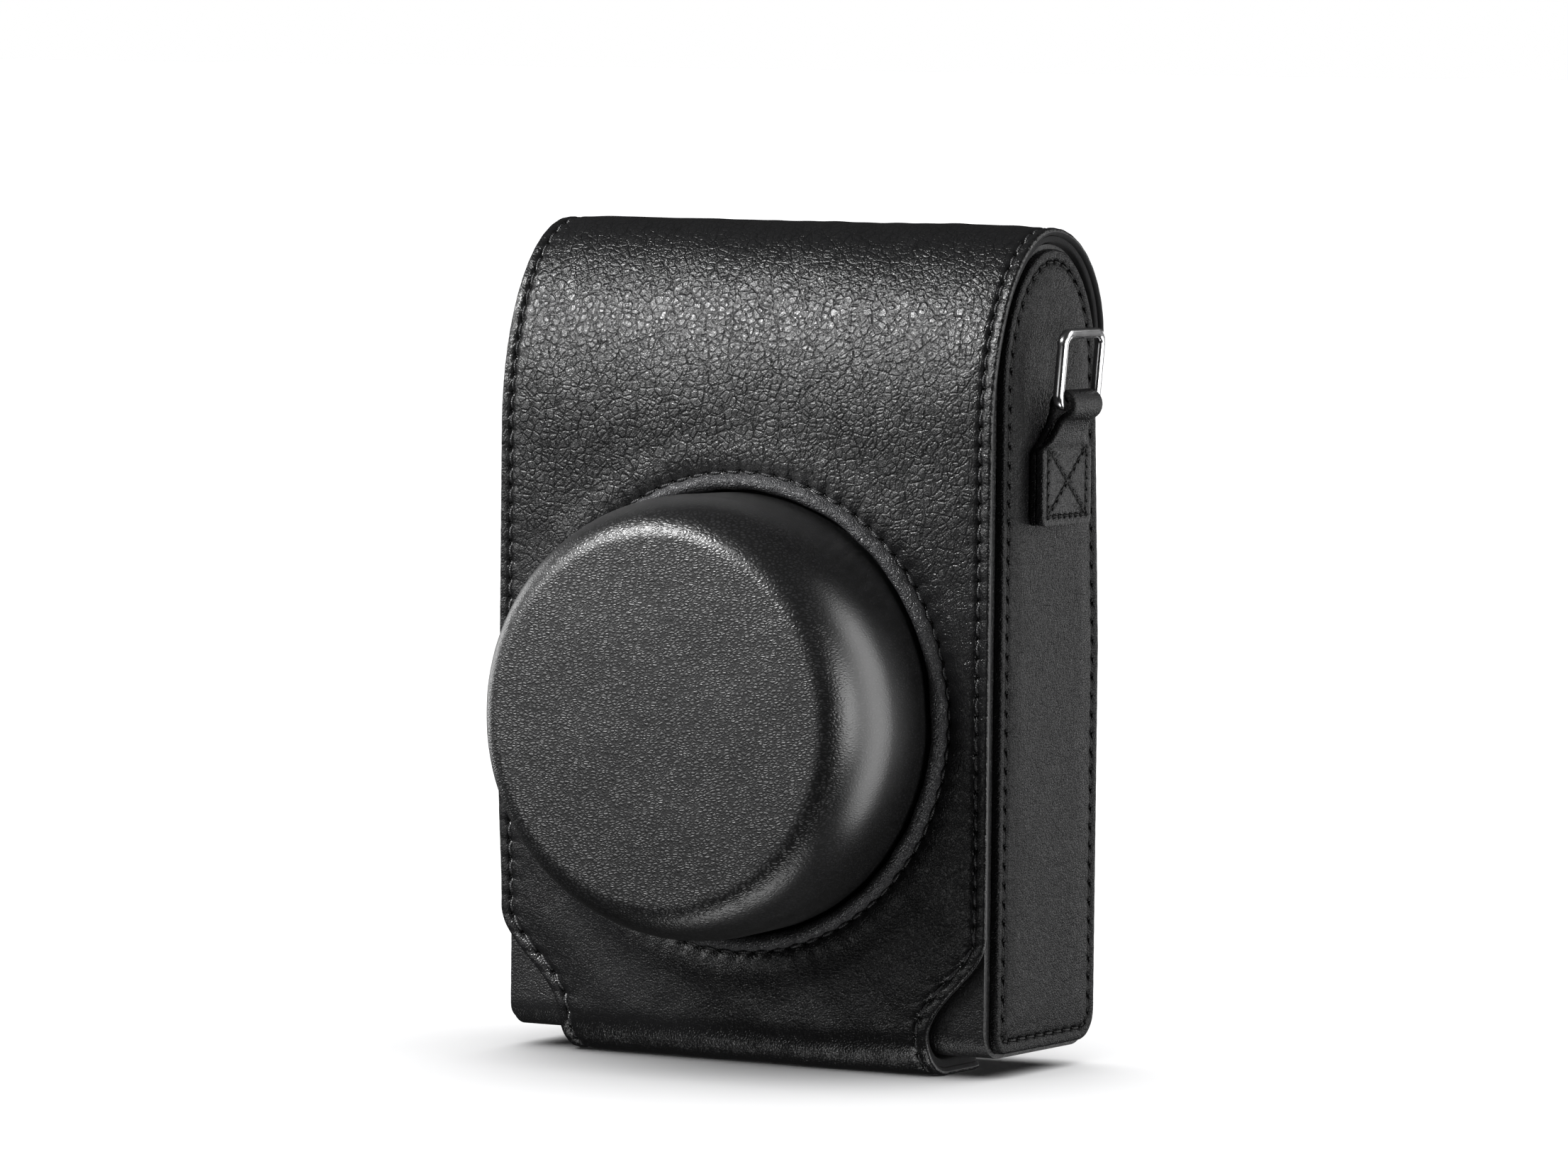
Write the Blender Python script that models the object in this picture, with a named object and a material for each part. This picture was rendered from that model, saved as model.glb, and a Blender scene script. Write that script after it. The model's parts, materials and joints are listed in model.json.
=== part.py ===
"""An upright leather case for a compact camera, with its flap closed.

The flap is one skin: it leaves the top of the back panel, goes over the arch, down the front and under the
base, where it ends as a tongue. A moulded cup for the lens is sewn into a round hole in it. The skin bends
at three folds, so it is cut there into pieces that turn about the folds.

Units are metres. X runs across the width, -Y is the front and +Z is up. The origin is on the underside of the
tongue, in the middle of the width and the depth. Depths are measured from the flap's outer surface inwards.
"""

import math
from collections import namedtuple

import bmesh
import bpy
from mathutils import Matrix, Vector

MM = 0.001
SHARP_ANGLE = math.radians(35)
OVERSHOOT = 5 * MM
TINY = 0.001 * MM

# Overall size, without the cup and the rings
HEIGHT = 140 * MM
WIDTH = 94.2 * MM
DEPTH = 39.2 * MM
GAP = 0.3 * MM
BACK_Y = DEPTH / 2
FRONT_Y = -DEPTH / 2

# The flap's path, seen from the side
ARCH_Y = 1.5 * MM
BACK_FOLD_Z = 121.5 * MM
FRONT_FOLD_Z = 105 * MM
TONGUE_BEND = 8 * MM
TONGUE_END_Y = 2.6 * MM

# The flap's outline: a bite at each lower corner leaves the narrower tongue
BITE_TOP_Z = 24 * MM
BITE_LENGTH = 17.5 * MM
TONGUE_HALF_WIDTH = 36.2 * MM
TONGUE_CORNER = 5 * MM

# Layers of the flap, as depths
FLAP_LEATHER = (0, 1.2 * MM)
FLAP_LINING = (1.5 * MM, 2.3 * MM)
TONGUE_LINING = (1.5 * MM, 2.7 * MM)
LINING_MARGIN = 0.6 * MM

# The lens cup and the welt round its foot
CUP_Z = 58.9 * MM
CUP_RADIUS = 36.9 * MM
CUP_HEIGHT = 27.3 * MM
CUP_SHOULDER = 9.2 * MM
CUP_THICKNESS = 1.5 * MM
CUP_FLANGE_RADIUS = 43 * MM
CUP_LINING_THICKNESS = 0.8 * MM
WELT_WIDTH = 1.8 * MM
WELT_HEIGHT = 1.8 * MM
CUP_STEPS = 44

# The body under the flap
BODY_HALF_WIDTH = 45.6 * MM
BODY_WALL = 1.4 * MM
BODY_FRONT_Y = -16.9 * MM
BODY_SIDE_BACK_Y = 18 * MM
BODY_BOTTOM_Z = 3.4 * MM
BODY_FRONT_BEND = 5 * MM
BODY_BACK_BEND = 6 * MM
INNER_BENDS = (BODY_FRONT_BEND - BODY_WALL, BODY_BACK_BEND - BODY_WALL)
BODY_EDGE_RADIUS = 2.5 * MM
GABLE_INSET = 2.7 * MM
GABLE_NARROWS_Z = 108 * MM
BACK_PANEL_HALF_WIDTH = 45.3 * MM
FRONT_WALL_TOP_Z = 96 * MM
LENS_CUT_RADIUS = 35.5 * MM
LENS_CUT_STEPS = 24

# Boards and linings inside the body
BOARD = 1 * MM
LINING = 0.8 * MM
LINING_BEND = 2 * MM
MAGNET_SIZE = (34 * MM, 9 * MM, 1.6 * MM)
MAGNET_Y = -5 * MM
KEEPER_THICKNESS = 0.5 * MM

# Side panels
PANEL_THICKNESS = 1.2 * MM
PANEL_FRONT_Y = -15 * MM
PANEL_BACK_Y = 18.9 * MM
PANEL_UPPER_BACK_Y = 16.6 * MM
PANEL_BACK_SPRING_Z = 116 * MM
PANEL_FRONT_SPRING_Z = 113 * MM
PANEL_NARROWS_Z = 70 * MM
PANEL_TOP_Z = 136.5 * MM
PANEL_BOTTOM_Z = 4.2 * MM
PANEL_FRONT_CORNER = 3 * MM
PANEL_BACK_CORNER = 5 * MM

# Ring tabs and rings
TAB_Y = 1.5 * MM
TAB_WIDTH = 17 * MM
TAB_THICKNESS = 2.7 * MM
TAB_CORNER = 1.2 * MM
TAB_BOTTOM_Z = 91 * MM
TAB_SHOULDER_Z = 104 * MM
LOOP_WIDTH = 9.8 * MM
LOOP_FROM_Z = 107.5 * MM
LOOP_RADIUS = 2.6 * MM
RING_PIVOT_X = 51.5 * MM
RING_PIVOT_Z = 111 * MM
RING_WIRE_RADIUS = 0.875 * MM
RING_WIDTH = 12.9 * MM
RING_HEIGHT = 11.8 * MM
RING_CORNER = 1.9 * MM
RING_LEAN = math.radians(5)

Station = namedtuple("Station", "run y z ny nz")


def clear_scene():
    for obj in list(bpy.data.objects):
        bpy.data.objects.remove(obj, do_unlink=True)


def make_material(name, color, roughness, metallic=0.0):
    material = bpy.data.materials.new(name)
    material.use_nodes = True
    shader = material.node_tree.nodes["Principled BSDF"]
    shader.inputs["Base Color"].default_value = (*color, 1)
    shader.inputs["Roughness"].default_value = roughness
    shader.inputs["Metallic"].default_value = metallic
    material.diffuse_color = (*color, 1)
    return material


def finished(name, mesh, material):
    """The object made from a bmesh: faces outward, round stretches smooth and edges sharp."""
    bmesh.ops.recalc_face_normals(mesh, faces=mesh.faces)
    data = bpy.data.meshes.new(name)
    mesh.to_mesh(data)
    mesh.free()
    data.shade_smooth()
    data.set_sharp_from_angle(angle=SHARP_ANGLE)
    data.materials.append(material)
    obj = bpy.data.objects.new(name, data)
    bpy.context.scene.collection.objects.link(obj)
    return obj


def as_cutter(obj):
    obj.hide_render = True
    obj.display_type = "WIRE"
    return obj


def boolean(obj, operation, other):
    modifier = obj.modifiers.new(other.name, "BOOLEAN")
    modifier.operation = operation
    modifier.object = other
    return obj


# Outlines and paths ---------------------------------------------------------------------------------------


def arc(centre, radii, start, end, steps):
    """Points on an ellipse from one angle to another, in degrees."""
    points = []
    for i in range(steps + 1):
        angle = math.radians(start + (end - start) * i / steps)
        points.append((centre[0] + radii[0] * math.cos(angle), centre[1] + radii[1] * math.sin(angle)))
    return points


def straight_leg(start, end, normal, steps=1):
    """Points of a straight stretch of the flap's path, each with its inward normal."""
    return [(Vector(start).lerp(Vector(end), i / steps), Vector(normal)) for i in range(steps + 1)]


def round_leg(centre, radii, start, end, steps):
    """Points of a round stretch of the flap's path, each with its inward normal."""
    leg = []
    for point in arc(centre, radii, start, end, steps):
        outward = Vector(((point[0] - centre[0]) / radii[0] ** 2, (point[1] - centre[1]) / radii[1] ** 2))
        leg.append((Vector(point), -outward.normalized()))
    return leg


def flap_path():
    """The stations from the back panel's foot to the tongue's end, and the run where each leg starts."""
    rear_radii = (BACK_Y - ARCH_Y, HEIGHT - BACK_FOLD_Z)
    front_radii = (ARCH_Y - FRONT_Y, HEIGHT - FRONT_FOLD_Z)
    bend = (FRONT_Y + TONGUE_BEND, TONGUE_BEND)
    bend_radii = (TONGUE_BEND, TONGUE_BEND)
    tongue_corner_y = TONGUE_END_Y - TONGUE_CORNER
    legs = {
        "back": straight_leg((BACK_Y, BODY_BOTTOM_Z + BODY_BACK_BEND + GAP), (BACK_Y, BACK_FOLD_Z), (-1, 0)),
        "rear_arch": round_leg((ARCH_Y, BACK_FOLD_Z), rear_radii, 0, 90, 9),
        "front_arch": round_leg((ARCH_Y, FRONT_FOLD_Z), front_radii, 90, 180, 11),
        "front": straight_leg((FRONT_Y, FRONT_FOLD_Z), (FRONT_Y, BITE_TOP_Z), (1, 0)),
        "bite": straight_leg((FRONT_Y, BITE_TOP_Z), (FRONT_Y, TONGUE_BEND), (1, 0), 8),
        "upper_bend": round_leg(bend, bend_radii, 180, 225, 4),
        "lower_bend": round_leg(bend, bend_radii, 225, 270, 4),
        "tongue": straight_leg((FRONT_Y + TONGUE_BEND, 0), (tongue_corner_y, 0), (0, 1)),
        "tongue_end": straight_leg((tongue_corner_y, 0), (TONGUE_END_Y, 0), (0, 1), 5),
    }
    stations = []
    starts = {}
    run = 0.0
    for name, leg in legs.items():
        starts[name] = run
        previous = leg[0][0]
        for point, normal in leg if not stations else leg[1:]:
            run += (point - previous).length
            previous = point
            stations.append(Station(run, point.x, point.y, normal.x, normal.y))
    starts["end"] = run
    return stations, starts


PATH, STARTS = flap_path()


def station_at(run):
    """The station at this run, between its two neighbours on the path."""
    for before, after in zip(PATH, PATH[1:]):
        if run <= after.run:
            share = (run - before.run) / (after.run - before.run)
            return Station(*(a + (b - a) * share for a, b in zip(before, after)))
    return PATH[-1]


def stretch(first, last, from_gap=GAP / 2, to_gap=GAP / 2):
    """The stations from one leg's start to another's, less half a gap at each end."""
    start = STARTS[first] + from_gap
    end = STARTS[last] - to_gap
    inner = [station for station in PATH if start < station.run < end]
    return [station_at(start), *inner, station_at(end)]


def flap_half_width(run):
    """Full width down to the bites, an S-shaped curve in to the tongue, and round corners at its end."""
    bite = min(max((run - STARTS["bite"]) / BITE_LENGTH, 0), 1)
    narrowed = (WIDTH / 2 - TONGUE_HALF_WIDTH) * (1 - math.cos(math.pi * bite)) / 2
    into_corner = min(max(TONGUE_CORNER - (STARTS["end"] - run), 0), TONGUE_CORNER)
    rounded = TONGUE_CORNER - math.sqrt(TONGUE_CORNER**2 - into_corner**2)
    return WIDTH / 2 - narrowed - rounded


def lining_half_width(run):
    return flap_half_width(run) - LINING_MARGIN


def gable_foot(front_y, back_y, bottom_z, bends):
    """The body's two rounded lower corners, seen from the side."""
    front_bend, back_bend = bends
    return [
        *arc((front_y + front_bend, bottom_z + front_bend), (front_bend, front_bend), 180, 270, 6),
        *arc((back_y - back_bend, bottom_z + back_bend), (back_bend, back_bend), 270, 360, 6),
    ]


def gable_top(front_y, back_y, inset):
    """The body's back edge and its top, which follows the arch, seen from the side."""
    top = HEIGHT - inset
    upper_back_y = min(BACK_Y - inset, back_y)
    return [
        (back_y, GABLE_NARROWS_Z),
        *arc((ARCH_Y, BACK_FOLD_Z), (upper_back_y - ARCH_Y, top - BACK_FOLD_Z), 0, 90, 8),
        *arc((ARCH_Y, FRONT_FOLD_Z), (ARCH_Y - front_y, top - FRONT_FOLD_Z), 90, 180, 10)[1:],
    ]


def panel_outline():
    """The side panel's outline: square below, arched above, and wider towards the foot of its back edge."""
    front, back = PANEL_FRONT_CORNER, PANEL_BACK_CORNER
    back_radii = (PANEL_UPPER_BACK_Y - ARCH_Y, PANEL_TOP_Z - PANEL_BACK_SPRING_Z)
    front_radii = (ARCH_Y - PANEL_FRONT_Y, PANEL_TOP_Z - PANEL_FRONT_SPRING_Z)
    return [
        *arc((PANEL_FRONT_Y + front, PANEL_BOTTOM_Z + front), (front, front), 180, 270, 5),
        *arc((PANEL_BACK_Y - back, PANEL_BOTTOM_Z + back), (back, back), 270, 360, 5),
        (PANEL_BACK_Y, PANEL_NARROWS_Z),
        *arc((ARCH_Y, PANEL_BACK_SPRING_Z), back_radii, 0, 90, 9),
        *arc((ARCH_Y, PANEL_FRONT_SPRING_Z), front_radii, 90, 180, 9)[1:],
    ]


def lens_frame_outline(half_width, bottom, cut_radius):
    """A front wall's outline, in X and Z, with the U-shaped cut that lets the lens through."""
    top = FRONT_WALL_TOP_Z - GAP
    return [
        (-half_width, bottom),
        (half_width, bottom),
        (half_width, top),
        (cut_radius, top),
        *arc((0, CUP_Z), (cut_radius, cut_radius), 0, -180, LENS_CUT_STEPS),
        (-cut_radius, top),
        (-half_width, top),
    ]


# Ways to make a piece -------------------------------------------------------------------------------------


def strip(name, stations, depths, half_width, material):
    """A closed strip that follows the flap's path, between two depths."""
    mesh = bmesh.new()
    rows = []
    for station in stations:
        half = half_width(station.run)
        row = []
        for x, depth in ((-half, depths[0]), (half, depths[0]), (half, depths[1]), (-half, depths[1])):
            row.append(mesh.verts.new((x, station.y + station.ny * depth, station.z + station.nz * depth)))
        rows.append(row)
    for above, below in zip(rows, rows[1:]):
        for i in range(4):
            j = (i + 1) % 4
            mesh.faces.new((above[i], above[j], below[j], below[i]))
    mesh.faces.new(rows[0])
    mesh.faces.new(rows[-1])
    return finished(name, mesh, material)


def prism(name, outline, low, high, axis, material):
    """An outline drawn across one axis and drawn out along it, from low to high."""
    place = {
        "x": lambda a, b, along: (along, a, b),
        "y": lambda a, b, along: (a, along, b),
        "z": lambda a, b, along: (a, b, along),
    }[axis]
    mesh = bmesh.new()
    near = [mesh.verts.new(place(a, b, low)) for a, b in outline]
    far = [mesh.verts.new(place(a, b, high)) for a, b in outline]
    count = len(outline)
    for i in range(count):
        j = (i + 1) % count
        mesh.faces.new((near[i], near[j], far[j], far[i]))
    mesh.faces.new(near)
    mesh.faces.new(far)
    return finished(name, mesh, material)


def block(name, low, high, material):
    outline = [(low[0], low[1]), (high[0], low[1]), (high[0], high[1]), (low[0], high[1])]
    return prism(name, outline, low[2], high[2], "z", material)


def turned(name, profile, material, closed):
    """A profile of (radius, y) points turned about the cup's axis."""
    mesh = bmesh.new()
    verts = [mesh.verts.new((radius, y, CUP_Z)) for radius, y in profile]
    pairs = list(zip(verts, verts[1:]))
    if closed:
        pairs.append((verts[-1], verts[0]))
    edges = [mesh.edges.new(pair) for pair in pairs]
    bmesh.ops.spin(
        mesh,
        geom=verts + edges,
        cent=(0, 0, CUP_Z),
        axis=(0, 1, 0),
        angle=math.tau,
        steps=CUP_STEPS,
        use_duplicate=False,
    )
    bmesh.ops.remove_doubles(mesh, verts=mesh.verts, dist=TINY)
    return finished(name, mesh, material)


def round_cutter(name, radius, material):
    """A cylinder on the cup's axis that runs through the flap's front."""
    ends = (FRONT_Y - OVERSHOOT, FRONT_Y + OVERSHOOT)
    outline = arc((0, CUP_Z), (radius, radius), 0, 360, CUP_STEPS)[:-1]
    return as_cutter(prism(name, outline, *ends, "y", material))


def mirrored_x(low, high, side):
    """A range of x on the right side, or the same range on the left."""
    return (low, high) if side > 0 else (-high, -low)


# The body -------------------------------------------------------------------------------------------------


def make_body_shell(leather):
    """Front wall, base and side walls in one, open at the top and at the back, with the lens cut."""
    outline = gable_foot(BODY_FRONT_Y, BACK_Y, BODY_BOTTOM_Z, (BODY_FRONT_BEND, BODY_BACK_BEND))
    outline.append((BODY_SIDE_BACK_Y, BODY_BOTTOM_Z + BODY_BACK_BEND))
    outline.extend(gable_top(BODY_FRONT_Y, BODY_SIDE_BACK_Y, GABLE_INSET))
    shell = prism("body_shell", outline, -BODY_HALF_WIDTH, BODY_HALF_WIDTH, "x", leather)
    round_body_edges(shell)
    inside = BODY_HALF_WIDTH - BODY_WALL
    above = HEIGHT + OVERSHOOT
    behind = BACK_Y + OVERSHOOT
    front_y = BODY_FRONT_Y + BODY_WALL
    floor_z = BODY_BOTTOM_Z + BODY_WALL
    cavity = [
        *gable_foot(front_y, BACK_Y - BODY_WALL, floor_z, INNER_BENDS),
        (behind, BODY_BOTTOM_Z + BODY_BACK_BEND),
        (behind, above),
        (front_y, above),
    ]
    boolean(shell, "DIFFERENCE", as_cutter(prism("cut_cavity", cavity, -inside, inside, "x", leather)))
    low = (-inside, BODY_FRONT_Y - OVERSHOOT, FRONT_WALL_TOP_Z)
    boolean(shell, "DIFFERENCE", as_cutter(block("cut_roof", low, (inside, behind, above), leather)))
    mouth = [
        (LENS_CUT_RADIUS, above),
        *arc((0, CUP_Z), (LENS_CUT_RADIUS, LENS_CUT_RADIUS), 0, -180, LENS_CUT_STEPS),
        (-LENS_CUT_RADIUS, above),
    ]
    ends = (BODY_FRONT_Y - OVERSHOOT, BODY_FRONT_Y + OVERSHOOT)
    boolean(shell, "DIFFERENCE", as_cutter(prism("cut_lens_mouth", mouth, *ends, "y", leather)))
    return shell


def round_body_edges(shell):
    """Rounds the edges where the side walls meet the front wall and the base."""
    mesh = bmesh.new()
    mesh.from_mesh(shell.data)
    edges = []
    for edge in mesh.edges:
        middle = (edge.verts[0].co + edge.verts[1].co) / 2
        across = abs(edge.verts[0].co.x - edge.verts[1].co.x) > TINY
        below_arch = max(vert.co.z for vert in edge.verts) < FRONT_FOLD_Z + TINY
        if not across and below_arch and (middle.y < 0 or middle.z < BODY_BOTTOM_Z + BODY_BACK_BEND):
            edges.append(edge)
    bmesh.ops.bevel(
        mesh, geom=edges, offset=BODY_EDGE_RADIUS, segments=3, profile=0.5, affect="EDGES", clamp_overlap=True
    )
    mesh.to_mesh(shell.data)
    mesh.free()
    shell.data.shade_smooth()
    shell.data.set_sharp_from_angle(angle=SHARP_ANGLE)


def make_body_boards(board):
    """Stiffener boards between the leather and the lining."""
    pieces = []
    half = BODY_HALF_WIDTH - BODY_WALL - 2 * GAP - BOARD
    outer_x = BODY_HALF_WIDTH - BODY_WALL - GAP
    side_front_y = BODY_FRONT_Y + BODY_WALL + GAP
    side_back_y = BODY_SIDE_BACK_Y - GAP
    floor_z = BODY_BOTTOM_Z + BODY_WALL + GAP
    outline = gable_foot(side_front_y, side_back_y, floor_z, INNER_BENDS)
    outline.extend(gable_top(side_front_y, side_back_y, GABLE_INSET + GAP))
    for name, side in (("left_side_board", -1), ("right_side_board", 1)):
        ends = mirrored_x(outer_x - BOARD, outer_x, side)
        pieces.append(prism(name, outline, *ends, "x", board))
    back_y = BACK_Y - FLAP_LEATHER[1] - GAP
    low = (-half, back_y - BOARD, BODY_BOTTOM_Z + BODY_BACK_BEND + GAP)
    pieces.append(block("back_board", low, (half, back_y, BACK_FOLD_Z - GAP), board))
    floor_y = (BODY_FRONT_Y + BODY_FRONT_BEND, BACK_Y - BODY_BACK_BEND)
    low = (-half, floor_y[0], floor_z)
    base = block("base_board", low, (half, floor_y[1], floor_z + MAGNET_SIZE[2]), board)
    boolean(base, "DIFFERENCE", as_cutter(magnet_block("cut_magnet_pocket", floor_z, GAP, board)))
    pieces.append(base)
    front_outline = lens_frame_outline(half, BODY_BOTTOM_Z + BODY_FRONT_BEND, LENS_CUT_RADIUS + LINING)
    pieces.append(prism("front_board", front_outline, side_front_y, side_front_y + BOARD, "y", board))
    return pieces


def magnet_block(name, floor_z, margin, material):
    """The magnet's own shape, or with a margin the pocket that it sits in."""
    length, breadth, thickness = MAGNET_SIZE
    low = (-length / 2 - margin, MAGNET_Y - breadth / 2 - margin, floor_z - margin)
    high = (length / 2 + margin, MAGNET_Y + breadth / 2 + margin, floor_z + thickness + margin)
    return block(name, low, high, material)


def make_body_linings(lining):
    """The lining's panels, innermost on every wall."""
    pieces = []
    board_x = BODY_HALF_WIDTH - BODY_WALL - 2 * GAP - BOARD
    half = board_x - LINING - GAP
    front_y = BODY_FRONT_Y + BODY_WALL + 2 * GAP + BOARD
    back_y = BACK_Y - FLAP_LEATHER[1] - 2 * GAP - BOARD
    floor_z = BODY_BOTTOM_Z + BODY_WALL + 2 * GAP + MAGNET_SIZE[2]
    outline = gable_foot(front_y, back_y, floor_z, (LINING_BEND, LINING_BEND))
    outline.extend(gable_top(front_y, back_y, GABLE_INSET + 2 * GAP))
    for name, side in (("left_side_lining", -1), ("right_side_lining", 1)):
        ends = mirrored_x(board_x - LINING, board_x, side)
        pieces.append(prism(name, outline, *ends, "x", lining))
    low = (-half, back_y - LINING, floor_z)
    pieces.append(block("back_lining", low, (half, back_y, BACK_FOLD_Z - GAP), lining))
    low = (-half, front_y + LINING + GAP, floor_z)
    pieces.append(block("base_lining", low, (half, back_y - LINING - GAP, floor_z + LINING), lining))
    front_outline = lens_frame_outline(half, floor_z, LENS_CUT_RADIUS + LINING)
    pieces.append(prism("front_lining", front_outline, front_y, front_y + LINING, "y", lining))
    return pieces


def make_side_panels(leather):
    pieces = []
    for name, side in (("left_side_panel", -1), ("right_side_panel", 1)):
        ends = mirrored_x(WIDTH / 2 - PANEL_THICKNESS, WIDTH / 2, side)
        pieces.append(prism(name, panel_outline(), *ends, "x", leather))
    return pieces


# The flap -------------------------------------------------------------------------------------------------


def make_back_panel(leather):
    back = stretch("back", "rear_arch", from_gap=0)
    return strip("back_panel", back, FLAP_LEATHER, lambda run: BACK_PANEL_HALF_WIDTH, leather)


def make_flap_top(leather, lining):
    arch = stretch("rear_arch", "front")
    return [
        strip("flap_top_leather", arch, FLAP_LEATHER, flap_half_width, leather),
        strip("flap_top_lining", arch, FLAP_LINING, lining_half_width, lining),
    ]


def make_flap_front(leather, lining):
    """The front panel with the upper half of the bend at its foot, and the cup's hole in both layers."""
    front = stretch("front", "lower_bend")
    skin = strip("flap_front_leather", front, FLAP_LEATHER, flap_half_width, leather)
    skin_hole = CUP_RADIUS + WELT_WIDTH + 2 * GAP
    boolean(skin, "DIFFERENCE", round_cutter("cut_cup_hole", skin_hole, leather))
    backing = strip("flap_front_lining", front, FLAP_LINING, lining_half_width, lining)
    boolean(backing, "DIFFERENCE", round_cutter("cut_flange_hole", CUP_FLANGE_RADIUS + GAP, lining))
    return [skin, backing]


def cup_profile(radius, front_y, foot_y, shoulder):
    """From the cup's axis out along its face, round the shoulder and back along the wall, as (radius, y)."""
    centre = (radius - shoulder, front_y + shoulder)
    return [(0, front_y), *arc(centre, (shoulder, shoulder), 270, 360, 6), (radius, foot_y)]


def make_lens_cup(leather, lining):
    """The moulded cup with its flange under the flap's skin, its lining and the welt round its foot."""
    face_y = FRONT_Y - CUP_HEIGHT
    flange_y = FRONT_Y + FLAP_LINING[0]
    back_y = FRONT_Y + FLAP_LINING[1]
    inner_radius = CUP_RADIUS - CUP_THICKNESS
    outside = cup_profile(CUP_RADIUS, face_y, flange_y, CUP_SHOULDER)
    inside = cup_profile(inner_radius, face_y + CUP_THICKNESS, back_y, CUP_SHOULDER - CUP_THICKNESS)
    flange = [(CUP_FLANGE_RADIUS, flange_y), (CUP_FLANGE_RADIUS, back_y)]
    cup = turned("lens_cup", [*outside, *flange, *reversed(inside)], leather, closed=False)

    lining_radius = inner_radius - GAP
    lining_y = face_y + CUP_THICKNESS + GAP
    lining_shoulder = CUP_SHOULDER - CUP_THICKNESS - GAP
    thin = CUP_LINING_THICKNESS
    outside = cup_profile(lining_radius, lining_y, back_y, lining_shoulder)
    inside = cup_profile(lining_radius - thin, lining_y + thin, back_y, lining_shoulder - thin)
    cup_lining = turned("lens_cup_lining", [*outside, *reversed(inside)], lining, closed=False)

    half = WELT_WIDTH / 2
    middle = CUP_RADIUS + GAP + half
    top_y = FRONT_Y - WELT_HEIGHT + half
    foot_y = FRONT_Y + FLAP_LEATHER[1]
    bead = arc((middle, top_y), (half, half), 180, 360, 6)
    welt = turned("cup_welt", [(middle - half, foot_y), *bead, (middle + half, foot_y)], leather, closed=True)
    return [cup, cup_lining, welt]


def make_tongue(leather, lining, steel):
    """The lower half of the bend and the tongue under the base, with the magnet's keeper in the lining."""
    tongue = stretch("lower_bend", "end", to_gap=0)
    skin = strip("tongue_leather", tongue, FLAP_LEATHER, flap_half_width, leather)
    backing = strip("tongue_lining", tongue, TONGUE_LINING, lining_half_width, lining)
    length, breadth, _ = MAGNET_SIZE
    low = Vector((-length / 2, MAGNET_Y - breadth / 2, TONGUE_LINING[0]))
    high = Vector((length / 2, MAGNET_Y + breadth / 2, TONGUE_LINING[0] + KEEPER_THICKNESS))
    margin = Vector((GAP, GAP, GAP))
    boolean(backing, "DIFFERENCE", as_cutter(block("cut_keeper_pocket", low - margin, high + margin, lining)))
    return [skin, backing, block("tongue_keeper", low, high, steel)]


# Ring tabs and rings --------------------------------------------------------------------------------------


def make_ring_tab(name, side, leather):
    """A leather tab doubled over the ring's bar: a wide sewn foot and a narrower rolled loop above it."""
    inner_x = WIDTH / 2 + GAP
    outer_x = inner_x + TAB_THICKNESS
    loop = arc((RING_PIVOT_X, RING_PIVOT_Z), (LOOP_RADIUS, LOOP_RADIUS), 200, -40, 12)
    section = [(inner_x, TAB_BOTTOM_Z), (inner_x, LOOP_FROM_Z), *loop, (outer_x, TAB_SHOULDER_Z)]
    section.append((outer_x, TAB_BOTTOM_Z))
    section = [(side * x, z) for x, z in section]
    ends = (TAB_Y - TAB_WIDTH / 2, TAB_Y + TAB_WIDTH / 2)
    tab = prism(name, section, *ends, "y", leather)
    boolean(tab, "INTERSECT", as_cutter(tab_outline(name + "_outline", side, leather)))
    hole_radius = RING_WIRE_RADIUS + GAP
    hole = arc((side * RING_PIVOT_X, RING_PIVOT_Z), (hole_radius, hole_radius), 0, 360, 12)[:-1]
    past = (ends[0] - OVERSHOOT, ends[1] + OVERSHOOT)
    boolean(tab, "DIFFERENCE", as_cutter(prism(name + "_bore", hole, *past, "y", leather)))
    return tab


def tab_outline(name, side, leather):
    """The tab seen from the side: a foot with rounded lower corners and hollow shoulders up to the loop."""
    half = TAB_WIDTH / 2
    corner = TAB_CORNER
    loop_half = LOOP_WIDTH / 2
    shoulder = (half - loop_half, LOOP_FROM_Z - TAB_SHOULDER_Z)
    top = RING_PIVOT_Z + LOOP_RADIUS + OVERSHOOT
    right = [
        *arc((half - corner, TAB_BOTTOM_Z + corner), (corner, corner), 270, 360, 4),
        *arc((half, LOOP_FROM_Z), shoulder, 270, 180, 5),
        (loop_half, top),
    ]
    outline = [(TAB_Y + y, z) for y, z in right] + [(TAB_Y - y, z) for y, z in reversed(right)]
    ends = mirrored_x(WIDTH / 2, RING_PIVOT_X + 2 * LOOP_RADIUS, side)
    return prism(name, outline, *ends, "x", leather)


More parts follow.
